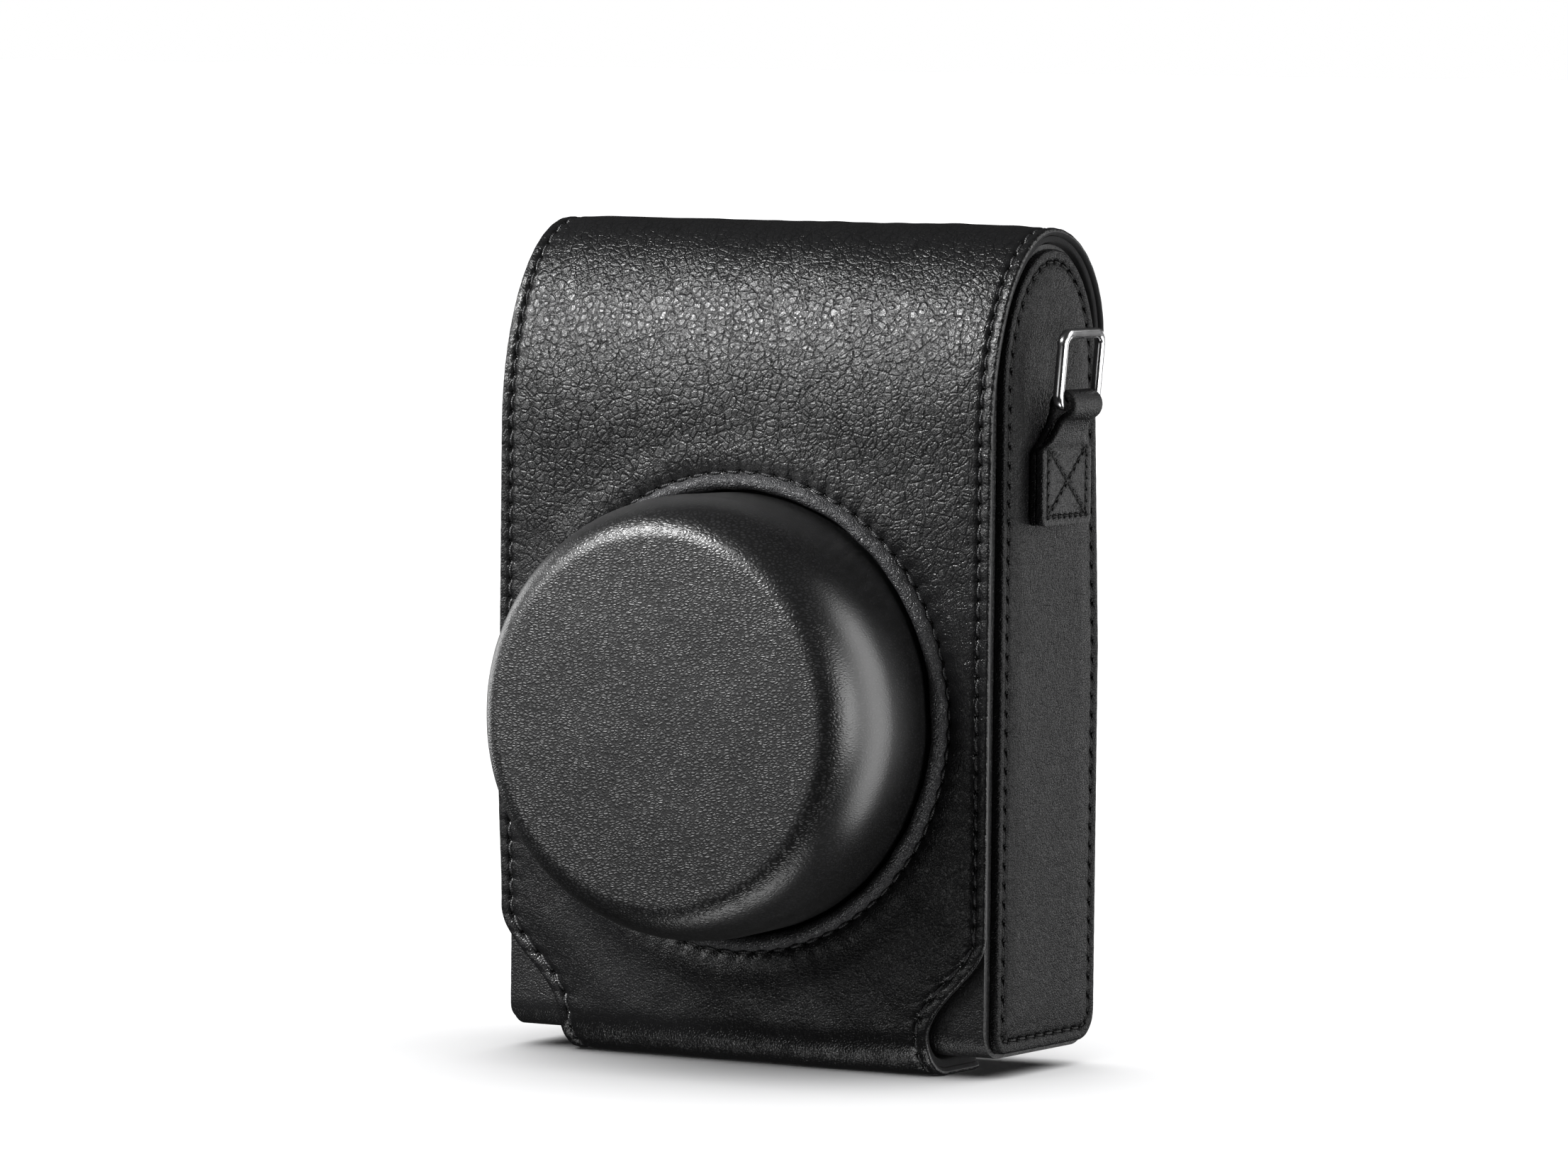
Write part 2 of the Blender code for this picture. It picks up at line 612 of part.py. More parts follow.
def make_ring(name, side, chrome):
    """A rectangular ring of round wire, leaning out on the bar that the tab's loop holds."""
    half = RING_WIDTH / 2
    inner = half - RING_CORNER
    corner = (RING_CORNER, RING_CORNER)
    points = [
        *arc((inner, RING_CORNER), corner, 270, 360, 4),
        *arc((inner, RING_HEIGHT - RING_CORNER), corner, 0, 90, 4),
        *arc((-inner, RING_HEIGHT - RING_CORNER), corner, 90, 180, 4),
        *arc((-inner, RING_CORNER), corner, 180, 270, 4),
    ]
    curve = bpy.data.curves.new(name, "CURVE")
    curve.dimensions = "3D"
    curve.bevel_depth = RING_WIRE_RADIUS
    curve.bevel_resolution = 3
    spline = curve.splines.new("POLY")
    spline.points.add(len(points) - 1)
    for point, (y, z) in zip(spline.points, points):
        point.co = (0, y, z, 1)
    spline.use_cyclic_u = True
    curve.materials.append(chrome)
    ring = bpy.data.objects.new(name, curve)
    ring.location = (side * RING_PIVOT_X, TAB_Y, RING_PIVOT_Z)
    ring.rotation_euler = (0, side * RING_LEAN, 0)
    bpy.context.scene.collection.objects.link(ring)
    return ring


# Assembly -------------------------------------------------------------------------------------------------


def make_fold(name, y, z, parent=None):
    """An empty on a fold's axis, for the pieces that turn about it."""
    fold = bpy.data.objects.new(name, None)
    fold.matrix_world = Matrix.Translation((0, y, z))
    bpy.context.scene.collection.objects.link(fold)
    attach([fold], parent)
    return fold


def attach(pieces, fold):
    if fold is None:
        return
    bpy.context.view_layer.update()
    for piece in pieces:
        piece.parent = fold
        piece.matrix_parent_inverse = fold.matrix_world.inverted()


def build():
    clear_scene()
    leather = make_material("black_leather", (0.022, 0.022, 0.024), 0.48)
    lining = make_material("dark_suede_lining", (0.045, 0.045, 0.048), 0.95)
    board = make_material("grey_fibre_board", (0.2, 0.2, 0.2), 0.85)
    steel = make_material("magnet_steel", (0.5, 0.5, 0.52), 0.35, 1.0)
    chrome = make_material("polished_ring", (0.85, 0.85, 0.86), 0.1, 1.0)

    make_body_shell(leather)
    make_body_boards(board)
    make_body_linings(lining)
    make_side_panels(leather)
    make_back_panel(leather)
    magnet_block("base_magnet", BODY_BOTTOM_Z + BODY_WALL + GAP, 0, steel)

    bend_y, bend_z = station_at(STARTS["lower_bend"])[1:3]
    back_fold = make_fold("back_fold", BACK_Y, BACK_FOLD_Z)
    front_fold = make_fold("front_fold", FRONT_Y, FRONT_FOLD_Z, back_fold)
    tongue_fold = make_fold("tongue_fold", bend_y, bend_z, front_fold)
    attach(make_flap_top(leather, lining), back_fold)
    attach(make_flap_front(leather, lining) + make_lens_cup(leather, lining), front_fold)
    attach(make_tongue(leather, lining, steel), tongue_fold)

    for prefix, side in (("left", -1), ("right", 1)):
        make_ring_tab(prefix + "_ring_tab", side, leather)
        make_ring(prefix + "_ring", side, chrome)


build()
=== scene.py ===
"""The looks of an upright leather camera case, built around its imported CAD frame.

The flap is one leather skin with one lining behind it. Both are grids over run and x: run is the way along
the flap, from the foot of the back panel over the arch and down the front to the end of the tongue. Depths
are measured from the flap's outer side inwards, and a lift is how far a surface stands out from its plain
shape. Units are metres. X runs across the width, -Y is the front and +Z is up.
"""

import json
import math

import bmesh
import bpy
import numpy as np
from mathutils import Matrix, Vector


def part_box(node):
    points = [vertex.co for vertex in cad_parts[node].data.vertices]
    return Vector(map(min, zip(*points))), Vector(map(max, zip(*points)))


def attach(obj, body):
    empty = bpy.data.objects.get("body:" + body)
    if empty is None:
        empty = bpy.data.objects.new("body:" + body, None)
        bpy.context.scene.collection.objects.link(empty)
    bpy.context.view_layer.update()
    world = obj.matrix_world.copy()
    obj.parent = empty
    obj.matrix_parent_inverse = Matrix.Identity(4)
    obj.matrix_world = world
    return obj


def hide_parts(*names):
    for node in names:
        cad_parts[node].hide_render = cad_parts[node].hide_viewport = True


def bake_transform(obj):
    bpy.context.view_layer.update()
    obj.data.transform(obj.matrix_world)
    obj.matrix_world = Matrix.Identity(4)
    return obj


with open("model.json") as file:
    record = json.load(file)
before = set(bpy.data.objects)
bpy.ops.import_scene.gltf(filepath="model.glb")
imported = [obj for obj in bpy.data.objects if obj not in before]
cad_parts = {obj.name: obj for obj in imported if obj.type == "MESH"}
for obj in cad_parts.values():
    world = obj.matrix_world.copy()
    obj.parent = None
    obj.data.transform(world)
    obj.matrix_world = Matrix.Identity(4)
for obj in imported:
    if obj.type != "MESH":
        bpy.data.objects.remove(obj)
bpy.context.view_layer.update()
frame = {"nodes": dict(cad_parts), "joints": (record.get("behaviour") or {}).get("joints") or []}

MM = 0.001
JOINTS = {joint["name"]: Vector(joint["pos_m"]) for joint in frame["joints"]}

# The flap's path, from the frame
BACK_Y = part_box("back_panel")[1].y
BACK_FOOT_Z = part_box("back_panel")[0].z
FRONT_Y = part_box("flap_front_leather")[0].y
TOP_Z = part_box("flap_top_leather")[1].z
HALF_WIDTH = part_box("flap_top_leather")[1].x
BACK_HALF_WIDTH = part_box("back_panel")[1].x
TONGUE_END_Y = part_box("tongue_leather")[1].y
BACK_FOLD = JOINTS["flap_back_fold"]
FRONT_FOLD = JOINTS["flap_front_fold"]
ARCH_Y = 1.5 * MM
TONGUE_BEND = 8 * MM

# The flap's outline
BITE_TOP_Z = 24 * MM
BITE_LENGTH = 17.5 * MM
TONGUE_HALF_WIDTH = 36.2 * MM
TONGUE_CORNER = 5 * MM
BACK_WIDENS_Z = (108 * MM, 121 * MM)
LOWER_SPLIT_Z = 14 * MM

# Layers of the flap, as depths
LEATHER_DEPTH = 1.2 * MM
LINING_DEPTHS = (1.35 * MM, 2.3 * MM)
TONGUE_LINING_DEPTH = 2.7 * MM
LINING_MARGIN = 0.6 * MM

# Stitches. A distance of UNSEWN is out of reach of every mark that a stitch leaves
PITCH = 3.15 * MM
STITCH_LENGTH = 2.5 * MM
STITCH_INSET = 2.1 * MM
THREAD_RADIUS = 0.29 * MM
EDGE_RADIUS = 0.55 * MM
UNSEWN = 1.0

# The lens cup. Its shoulder has one size across the axis and one along it
CUP_Z = (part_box("lens_cup")[0].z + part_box("lens_cup")[1].z) / 2
CUP_FACE_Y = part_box("lens_cup")[0].y
CUP_RADIUS = 36.9 * MM
CUP_SHOULDER = (7 * MM, 14 * MM)
CUP_FLANGE_RADIUS = 42 * MM
SKIN_HOLE_RADIUS = 38.2 * MM
LINING_HOLE_RADIUS = 35.2 * MM
WELT_FOOT = (37.05 * MM, 39.6 * MM)
WELT_HEIGHT = 2.0 * MM
CUP_STITCH_RADIUS = 39.95 * MM
CUP_STITCHES = 76

# The body
BODY_WALL = 1.4 * MM
BODY_BENDS = (5 * MM, 6 * MM)
BODY_EDGE = 2.5 * MM
BODY_ROOF = 2.7 * MM
BODY_SIDE_BACK_Y = 18 * MM
BODY_NARROWS_Z = 108 * MM
FRONT_WALL_TOP_Z = 96 * MM
LENS_CUT_RADIUS = 35.5 * MM

# Side panels. The border's rings keep to the outline up to PANEL_REACH, and then close in on a spine
PANEL_LOW, PANEL_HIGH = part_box("right_side_panel")
PANEL_UPPER_BACK_Y = 16.6 * MM
PANEL_BACK_SPRING_Z = 116 * MM
PANEL_FRONT_SPRING_Z = 113 * MM
PANEL_NARROWS_Z = 70 * MM
PANEL_CORNERS = (3 * MM, 5 * MM)
PANEL_REACH = 2.8 * MM
PANEL_SPINE_ENDS = (14 * MM, 19 * MM)
PANEL_SPINE_INSET = 17.3 * MM
PANEL_SAMPLES = 6

# Ring tabs and rings
TAB_LOW, TAB_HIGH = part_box("right_ring_tab")
TAB_Y = (TAB_LOW.y + TAB_HIGH.y) / 2
TAB_SHOULDER_Z = 104 * MM
LOOP_FROM_Z = 107.5 * MM
LOOP_WIDTH = 9.8 * MM
TAB_PITCH = 1.9 * MM
TAB_STITCH_SHARE = 0.76
TAB_SEWN_ROWS = 35
STRAP = 1.26 * MM
LAYER_X = (48.05 * MM, 49.42 * MM)
RING_PIVOT = JOINTS["right_ring_swing"]
RING_WIDTH = 12.9 * MM
RING_HEIGHT = 11.8 * MM
RING_CORNER = 1.9 * MM
RING_WIRE = 0.875 * MM
RING_LEAN = math.radians(5)


# ---- Numbers ----


def smoothstep(low, high, value):
    share = np.clip((value - low) / (high - low), 0, 1)
    return share * share * (3 - 2 * share)


def undulation(points, wavelength, seed):
    """A smooth random field over points, with a mean of 0 and about 1 either way."""
    random = np.random.default_rng(seed)
    total = np.zeros(points.shape[:-1])
    waves = 10
    for _ in range(waves):
        direction = random.normal(size=points.shape[-1])
        direction *= random.uniform(0.6, 1.7) * math.tau / wavelength / np.linalg.norm(direction)
        total += np.sin(points @ direction + random.uniform(0, math.tau))
    return total / math.sqrt(waves)


def unit(vectors):
    return vectors / np.linalg.norm(vectors, axis=-1, keepdims=True)


def leftward(steps):
    """Unit vectors to the left of these steps in a plane."""
    return unit(np.stack([-steps[:, 1], steps[:, 0]], axis=1))


def lengths_along(points):
    return np.concatenate([[0], np.cumsum(np.linalg.norm(np.diff(points, axis=0), axis=1))])


def between(at, marks, points):
    """Places on a plane line whose own points lie at these marks."""
    return np.stack([np.interp(at, marks, points[:, i]) for i in range(2)], axis=1)


def arc(centre, radii, start, end, steps):
    """Points on a circle or an ellipse, from start to end in degrees."""
    angle = np.radians(np.linspace(start, end, steps + 1))
    return np.asarray(centre) + np.stack([np.cos(angle), np.sin(angle)], axis=1) * radii


def crown(back, front, top, steps):
    """The two legs of an arch: quarter ellipses that spring at these (y, z) points and meet over ARCH_Y."""
    rise = arc((ARCH_Y, back[1]), (back[0] - ARCH_Y, top - back[1]), 0, 90, steps[0])
    fall = arc((ARCH_Y, front[1]), (ARCH_Y - front[0], top - front[1]), 90, 180, steps[1])
    return [rise, fall]


def lower_corners(front_y, back_y, bottom_z, bends, steps):
    """Two rounded lower corners in (y, z), from the front to the back."""
    front, back = bends
    return np.concatenate([
        arc((front_y + front, bottom_z + front), front, 180, 270, steps),
        arc((back_y - back, bottom_z + back), back, 270, 360, steps),
    ])


def round_over(inset, radius):
    """The lift of a rounded edge at this inset from it."""
    short = np.clip(radius - inset, 0, radius)
    return np.sqrt(radius**2 - short**2) - radius


def seam(distance, phase, depth=0.50 * MM, width=0.52 * MM, pucker=0.18):
    """The lift along a row of stitches: a sunken line, deepest at whole phases, where the thread dips."""
    pulled = 0.80 + 0.20 * np.cos(math.tau * phase)
    puckered = pucker * np.cos(math.tau * phase) * np.exp(-((distance / (3.2 * width)) ** 2))
    return -depth * (pulled * np.exp(-((distance / width) ** 2)) + puckered)


# ---- The flap's path ----


def flap_path():
    """Even steps of run, the outer side's (y, z) at each, and the runs at which its six legs end."""
    count = 600
    legs = [
        np.linspace((BACK_Y, BACK_FOOT_Z), (BACK_Y, BACK_FOLD.z), count),
        *crown((BACK_Y, BACK_FOLD.z), (FRONT_Y, FRONT_FOLD.z), TOP_Z, (count - 1, count - 1)),
        np.linspace((FRONT_Y, FRONT_FOLD.z), (FRONT_Y, TONGUE_BEND), count),
        arc((FRONT_Y + TONGUE_BEND, TONGUE_BEND), TONGUE_BEND, 180, 270, count - 1),
        np.linspace((FRONT_Y + TONGUE_BEND, 0), (TONGUE_END_Y, 0), count),
    ]
    points = np.concatenate(legs)
    run = lengths_along(points)
    even = np.linspace(0, run[-1], 8000)
    return even, between(even, run, points), run[count - 1 :: count]


RUNS, PATH, LEG_ENDS = flap_path()
PATH_Y, PATH_Z = PATH.T
INWARD_Y = -np.gradient(PATH_Z, RUNS)
INWARD_Z = np.gradient(PATH_Y, RUNS)
RUN_BACK_FOLD, RUN_TOP, RUN_FRONT_FOLD, RUN_BEND, RUN_TONGUE, RUN_END = LEG_ENDS


def run_at(z):
    """The run at this height on the flap's front."""
    return RUN_FRONT_FOLD + FRONT_FOLD.z - z


RUN_BITE = run_at(BITE_TOP_Z)
RUN_SPLIT = run_at(LOWER_SPLIT_Z)


def along_path(run, x, depth):
    """Points on the flap at these runs and places across it, this far in from its outer side."""
    y = np.interp(run, RUNS, PATH_Y) + np.interp(run, RUNS, INWARD_Y) * depth
    z = np.interp(run, RUNS, PATH_Z) + np.interp(run, RUNS, INWARD_Z) * depth
    return np.stack(np.broadcast_arrays(x, y, z), axis=-1)


def outward_at(run):
    zero = np.zeros_like(run)
    return -np.stack([zero, np.interp(run, RUNS, INWARD_Y), np.interp(run, RUNS, INWARD_Z)], axis=-1)


def flap_half_width(run, x):
    """Full width down to the bites, an S-shaped curve in to the tongue, and round corners at its end. The
    left edge, where x is below 0, sits a little further in low on the front."""
    bite = np.clip((run - RUN_BITE) / BITE_LENGTH, 0, 1)
    narrowed = (HALF_WIDTH - TONGUE_HALF_WIDTH) * (1 - np.cos(math.pi * bite)) / 2
    into_corner = np.clip(TONGUE_CORNER - (RUN_END - run), 0, TONGUE_CORNER)
    rounded = TONGUE_CORNER - np.sqrt(TONGUE_CORNER**2 - into_corner**2)
    low, high = (z - BACK_FOOT_Z for z in BACK_WIDENS_Z)
    tucked = (HALF_WIDTH - BACK_HALF_WIDTH) * (1 - smoothstep(low, high, run))
    drawn = 0.8 * MM * smoothstep(RUN_BITE - 22 * MM, RUN_BITE, run) + 0.5 * MM * bite
    return HALF_WIDTH - narrowed - rounded - tucked - np.where(np.less(x, 0), drawn, 0)


def edge_slant(run, x):
    """How much longer a step across the flap is than its distance from the slanted edge."""
    step = 0.05 * MM
    slope = (flap_half_width(run + step, x) - flap_half_width(run - step, x)) / (2 * step)
    return np.sqrt(1 + np.clip(slope, -1.2, 1.2) ** 2)


def edge_inset(run, x):
    """How far in from the leather's side edge a place on the flap is."""
    return (flap_half_width(run, x) - np.abs(x)) / edge_slant(run, x)


def cup_polar(run, x):
    """Distance and angle from the cup's axis, for points on the flap's front."""
    z = FRONT_FOLD.z - (run - RUN_FRONT_FOLD)
    return np.hypot(x, z - CUP_Z), np.arctan2(z - CUP_Z, x)


def skin_lift(run, x):
    """How far the leather's outer side stands out: rounded edges, stitched seams, puckers and low waves."""
    inset = np.minimum(edge_inset(run, x), RUN_END - run)
    lift = round_over(inset, EDGE_RADIUS)
    sewn = smoothstep(RUN_BACK_FOLD - 12 * MM, RUN_BACK_FOLD, run)
    lift += sewn * seam(inset - STITCH_INSET, run / PITCH)
    lift += 0.22 * MM * smoothstep(STITCH_INSET, 9 * MM, inset)
    radius, angle = cup_polar(run, x)
    beyond = radius - CUP_STITCH_RADIUS
    lift += seam(beyond, CUP_STITCHES * angle / math.tau, 0.4 * MM, 0.55 * MM)
    fading = np.exp(-np.clip(beyond, 0, 1) / (2.6 * MM)) * smoothstep(-1 * MM, 1.2 * MM, beyond)
    lift -= 0.07 * MM * fading * np.cos(CUP_STITCHES * angle)
    lift += 0.3 * MM * np.exp(-(((beyond - 3 * MM) / (2.6 * MM)) ** 2))
    place = np.stack(np.broadcast_arrays(x, run), axis=-1)
    waves = 0.10 * MM * undulation(place, 26 * MM, 3) + 0.035 * MM * undulation(place, 9 * MM, 4)
    return lift + waves * smoothstep(1 * MM, 7 * MM, inset)


def skin_sewing(run, x):
    """The nearest row of stitches at each place on the flap: the distance from it, and the phase along it."""
    off = edge_inset(run, x) - STITCH_INSET + np.where(run < RUN_BACK_FOLD, UNSEWN, 0)
    radius, angle = cup_polar(run, x)
    around = np.abs(radius - CUP_STITCH_RADIUS) < np.abs(off)
    distance = np.where(around, radius - CUP_STITCH_RADIUS, off)
    phase = np.where(around, CUP_STITCHES * angle / math.tau, run / PITCH)
    return np.stack([distance, phase, np.zeros_like(phase)], axis=-1)


def skin_point(run, x):
    return along_path(run, x, -skin_lift(run, x))


# ---- Making meshes ----


def linked(name, data):
    obj = bpy.data.objects.new(name, data)
    bpy.context.scene.collection.objects.link(obj)
    return obj


def store(data, name, values):
    attribute = data.attributes.get(name) or data.attributes.new(name, "FLOAT_VECTOR", "POINT")
    attribute.data.foreach_set("vector", np.asarray(values, np.float32).ravel())


def new_object(name, points, faces, material, grain=None, sewing=None):
    """A smooth mesh object. The textures read its two point attributes: grain is the place on the leather,
    and sewing is the distance from the nearest row of stitches and the phase along it."""
    data = bpy.data.meshes.new(name)
    faces = faces.tolist() if isinstance(faces, np.ndarray) else faces
    data.from_pydata(np.asarray(points).reshape(-1, 3).tolist(), [], faces)
    data.update()
    data.shade_smooth()
    data.materials.append(material)
    store(data, "grain", points if grain is None else grain)
    if sewing is not None:
        store(data, "sewing", sewing)
    return linked(name, data)


def face_outward(obj, merge=False):
    """Turns the faces outwards, after merging the points that fall together if asked to."""
    mesh = bmesh.new()
    mesh.from_mesh(obj.data)
    if merge:
        bmesh.ops.remove_doubles(mesh, verts=mesh.verts, dist=0.002 * MM)
    bmesh.ops.recalc_face_normals(mesh, faces=mesh.faces)
    mesh.to_mesh(obj.data)
    mesh.free()
    return obj


def tube_faces(shape, closed=False):
    """Quads between rings of points. A closed tube's last ring meets its first. An open one has flat ends."""
    index = np.arange(shape[0] * shape[1]).reshape(shape[:2])
    rings = index if closed else index[:-1]
    ahead = np.roll(index, -1, axis=0) if closed else index[1:]
    quads = np.stack([rings, np.roll(rings, -1, 1), np.roll(ahead, -1, 1), ahead], axis=-1).reshape(-1, 4)
    return quads if closed else [*quads.tolist(), index[0].tolist(), index[-1].tolist()]


def sheet_faces(keep):
    """Quads of a closed sheet: its outer side, its inner side, and the walls along every border."""
    rows, columns = keep.shape
    index = np.arange((rows + 1) * (columns + 1)).reshape(rows + 1, columns + 1)
    corners = [index[:-1, :-1], index[1:, :-1], index[1:, 1:], index[:-1, 1:]]
    outer = np.stack(corners, axis=-1)[keep]
    edges = np.concatenate([outer[:, [i, (i + 1) % 4]] for i in range(4)])
    forward = edges[:, 0] * index.size + edges[:, 1]
    backward = edges[:, 1] * index.size + edges[:, 0]
    border = edges[~np.isin(forward, backward)]
    low, high = border.T
    walls = np.stack([high, low, low + index.size, high + index.size], axis=-1)
    return outer, outer[:, ::-1] + index.size, walls


def grid_normals(points):
    """Outward normals of a grid whose rows follow the run and whose columns go across."""
    return unit(np.cross(np.gradient(points, axis=0), np.gradient(points, axis=1)))


def sheet_object(name, keep, outer, inner, normals, grain, sewing, materials):
    """A closed sheet between two grids. Its outer side takes these normals, so that sheets match where they
    meet."""
    sides = sheet_faces(keep)
    faces = np.concatenate(sides)
    points = np.concatenate([outer.reshape(-1, 3), inner.reshape(-1, 3)])
    grains = np.concatenate([grain.reshape(-1, 3)] * 2)
    sewings = np.concatenate([sewing.reshape(-1, 3), sewing.reshape(-1, 3) + UNSEWN])
    used, faces = np.unique(faces, return_inverse=True)
    faces = faces.reshape(-1, 4)
    obj = new_object(name, points[used], faces, materials[0], grains[used], sewings[used])
    data = obj.data
    data.set_sharp_from_angle(angle=math.radians(55))
    for material in materials[1:]:
        data.materials.append(material)
    counts = [len(side) for side in sides]
    slots = np.repeat([0, min(1, len(materials) - 1), len(materials) - 1], counts)
    data.polygons.foreach_set("material_index", slots.astype(np.int32))
    loops = np.zeros((len(faces) * 4, 3))
    loops[: counts[0] * 4] = normals.reshape(-1, 3)[used[faces[: counts[0]].ravel()]]
    data.normals_split_custom_set(loops.tolist())
    return obj


def thread_object(name, starts, ends, ups, material, radius=THREAD_RADIUS):
    """Stitches as short threads that rise in the middle and go down into the leather at both ends."""
    share = np.linspace(0, 1, 9)
    around = np.arange(7) / 7 * math.tau
    steps = ends - starts
    length = np.linalg.norm(steps, axis=1).mean()
    sides = unit(np.cross(ups, unit(steps)))
    rise = radius * (1.9 * np.sin(math.pi * share) ** 0.6 - 0.9)
    thick = radius * (1 - 0.75 * np.abs(2 * share - 1) ** 5)
    centres = starts[:, None] + steps[:, None] * share[:, None] + ups[:, None] * rise[:, None]
    across = sides[:, None] * np.cos(around)[:, None] + ups[:, None] * np.sin(around)[:, None]
    points = centres[:, :, None] + across[:, None] * thick[:, None, None]
    shape = points.shape[:3]
    index = np.arange(points.size // 3).reshape(shape)
    following = np.roll(index, -1, axis=2)
    quads = np.stack([index[:, :-1], following[:, :-1], following[:, 1:], index[:, 1:]], axis=-1)
    faces = quads.reshape(-1, 4).tolist() + index[:, 0, ::-1].tolist() + index[:, -1].tolist()
    twist = np.broadcast_to(share[:, None] * length, shape)
    turn = np.broadcast_to(around / math.tau, shape)
    which = np.broadcast_to(np.arange(shape[0])[:, None, None], shape)
    return face_outward(new_object(name, points, faces, material, np.stack([twist, turn, which], axis=-1)))


# ---- Materials ----


class Nodes:
    """A finish under construction, with short ways to add the nodes that these finishes share."""

    def __init__(self, name, owners=bpy.data.materials, shader="Principled BSDF"):
        self.owner = owners.new(name)
        self.owner.use_nodes = True
        self.tree = self.owner.node_tree
        self.shader = self.tree.nodes[shader]

    def add(self, kind, inputs=(), **settings):
        node = self.tree.nodes.new("ShaderNode" + kind)
        for key, value in settings.items():
            setattr(node, key, value)
        for key, value in dict(inputs).items():
            self.connect(node.inputs[key], value)
        return node

    def connect(self, socket, value):
        if isinstance(value, bpy.types.NodeSocket):
            self.tree.links.new(value, socket)
        else:
            socket.default_value = value

    def math(self, operation, *values, clamp=False):
        return self.add("Math", enumerate(values), operation=operation, use_clamp=clamp).outputs[0]

    def scaled(self, value, factor, offset, clamp=False):
        return self.math("MULTIPLY_ADD", value, factor, offset, clamp=clamp)

    def sum(self, *weighted):
        total = 0.0
        for weight, value in weighted:
            total = self.scaled(value, weight, total)
        return total

    def ranged(self, value, from_low, from_high, to_low=0.0, to_high=1.0):
        names = ("Value", "From Min", "From Max", "To Min", "To Max")
        keys = zip(names, (value, from_low, from_high, to_low, to_high))
        return self.add("MapRange", keys, interpolation_type="SMOOTHSTEP").outputs[0]

    def axes(self, vector):
        return self.add("SeparateXYZ", {0: vector}).outputs

    def place(self, stretch=(1, 1, 1), warp=0.0, warp_scale=150):
        """The grain's coordinates, stretched, and shifted by a noise of this size."""
        grain = self.add("Attribute", attribute_name="grain").outputs["Vector"]
        if warp:
            noise = self.add("TexNoise", {"Vector": grain, "Scale": warp_scale, "Detail": 3}).outputs["Color"]
            centred = self.add("VectorMath", {0: noise, 1: (0.5, 0.5, 0.5)}, operation="SUBTRACT").outputs[0]
            shift = self.add("VectorMath", {0: centred, "Scale": warp}, operation="SCALE").outputs[0]
            grain = self.add("VectorMath", {0: grain, 1: shift}, operation="ADD").outputs[0]
        return self.add("VectorMath", {0: grain, 1: stretch}, operation="MULTIPLY").outputs[0]

    def noise(self, vector, scale, detail=3.0, roughness=0.55, distortion=0.0):
        keys = {"Vector": vector, "Scale": scale, "Detail": detail, "Roughness": roughness}
        return self.add("TexNoise", {**keys, "Distortion": distortion}).outputs[0]

    def cells(self, vector, size, edge):
        """Pebbles of this size: 1 on top, falling to 0 in the creases between them."""
        node = self.add("TexVoronoi", {"Vector": vector, "Scale": 1 / size}, feature="DISTANCE_TO_EDGE")
        return self.ranged(node.outputs["Distance"], 0.0, edge)

    def wrinkles(self, vector, size, width):
        """Thin winding creases: 0 in a crease and 1 beside it."""
        noise = self.noise(vector, 1 / size, 2, 0.5, 0.6)
        return self.ranged(self.math("ABSOLUTE", self.math("SUBTRACT", noise, 0.5)), 0.0, width)

    def sewn(self, slant=0.12 * MM, pitch=PITCH):
        """Masks from the nearest row of stitches: its sunken line, its needle holes, creases fanning out of
        them, and the leather beside it. The line steps sideways by the slant at each hole, as thread does."""
        off, phase, _ = self.axes(self.add("Attribute", attribute_name="sewing").outputs["Vector"])
        step = self.math("SUBTRACT", phase, self.math("ROUND", phase))
        side = self.math("SUBTRACT", self.math("FRACT", phase), 0.5)
        off = self.scaled(side, slant * 2, off)
        apart = self.math("ABSOLUTE", off)
        along = self.math("MULTIPLY", step, pitch)
        squares = [self.math("POWER", way, 2.0) for way in (off, along)]
        far = self.math("SQRT", self.math("ADD", *squares))
        line = self.ranged(apart, 0.10 * MM, 0.36 * MM, 1.0, 0.0)
        hole = self.ranged(far, 0.15 * MM, 0.45 * MM, 1.0, 0.0)
        turn = self.math("MULTIPLY", self.math("ARCTAN2", off, along), 6.0)
        bent = self.scaled(self.noise(self.place(), 900, 2), 5.0, turn)
        fan = self.math("MULTIPLY", self.math("SINE", bent), self.ranged(far, 0.4 * MM, 2.6 * MM, 1.0, 0.0))
        beside = self.ranged(apart, 0.3 * MM, 2.2 * MM, 0.25, 1.0)
        return line, hole, fan, beside

    def mixed(self, factor, first, second):
        return self.add("Mix", {"Factor": factor, 6: first, 7: second}, data_type="RGBA").outputs[2]

    def finish(self, height, depth, color, roughness, others=()):
        """Sets the bump from a height of 0 to 1 and its depth, the colour, the roughness and other inputs."""
        bump = self.add("Bump", {"Height": height, "Distance": depth, "Strength": 1.0}).outputs[0]
        keys = {"Normal": bump, "Base Color": color, "Roughness": roughness, **dict(others)}
        for key, value in keys.items():
            self.connect(self.shader.inputs[key], value)
        return self.owner


def grey(value, blue=1.05):
    return (value, value, value * blue, 1)


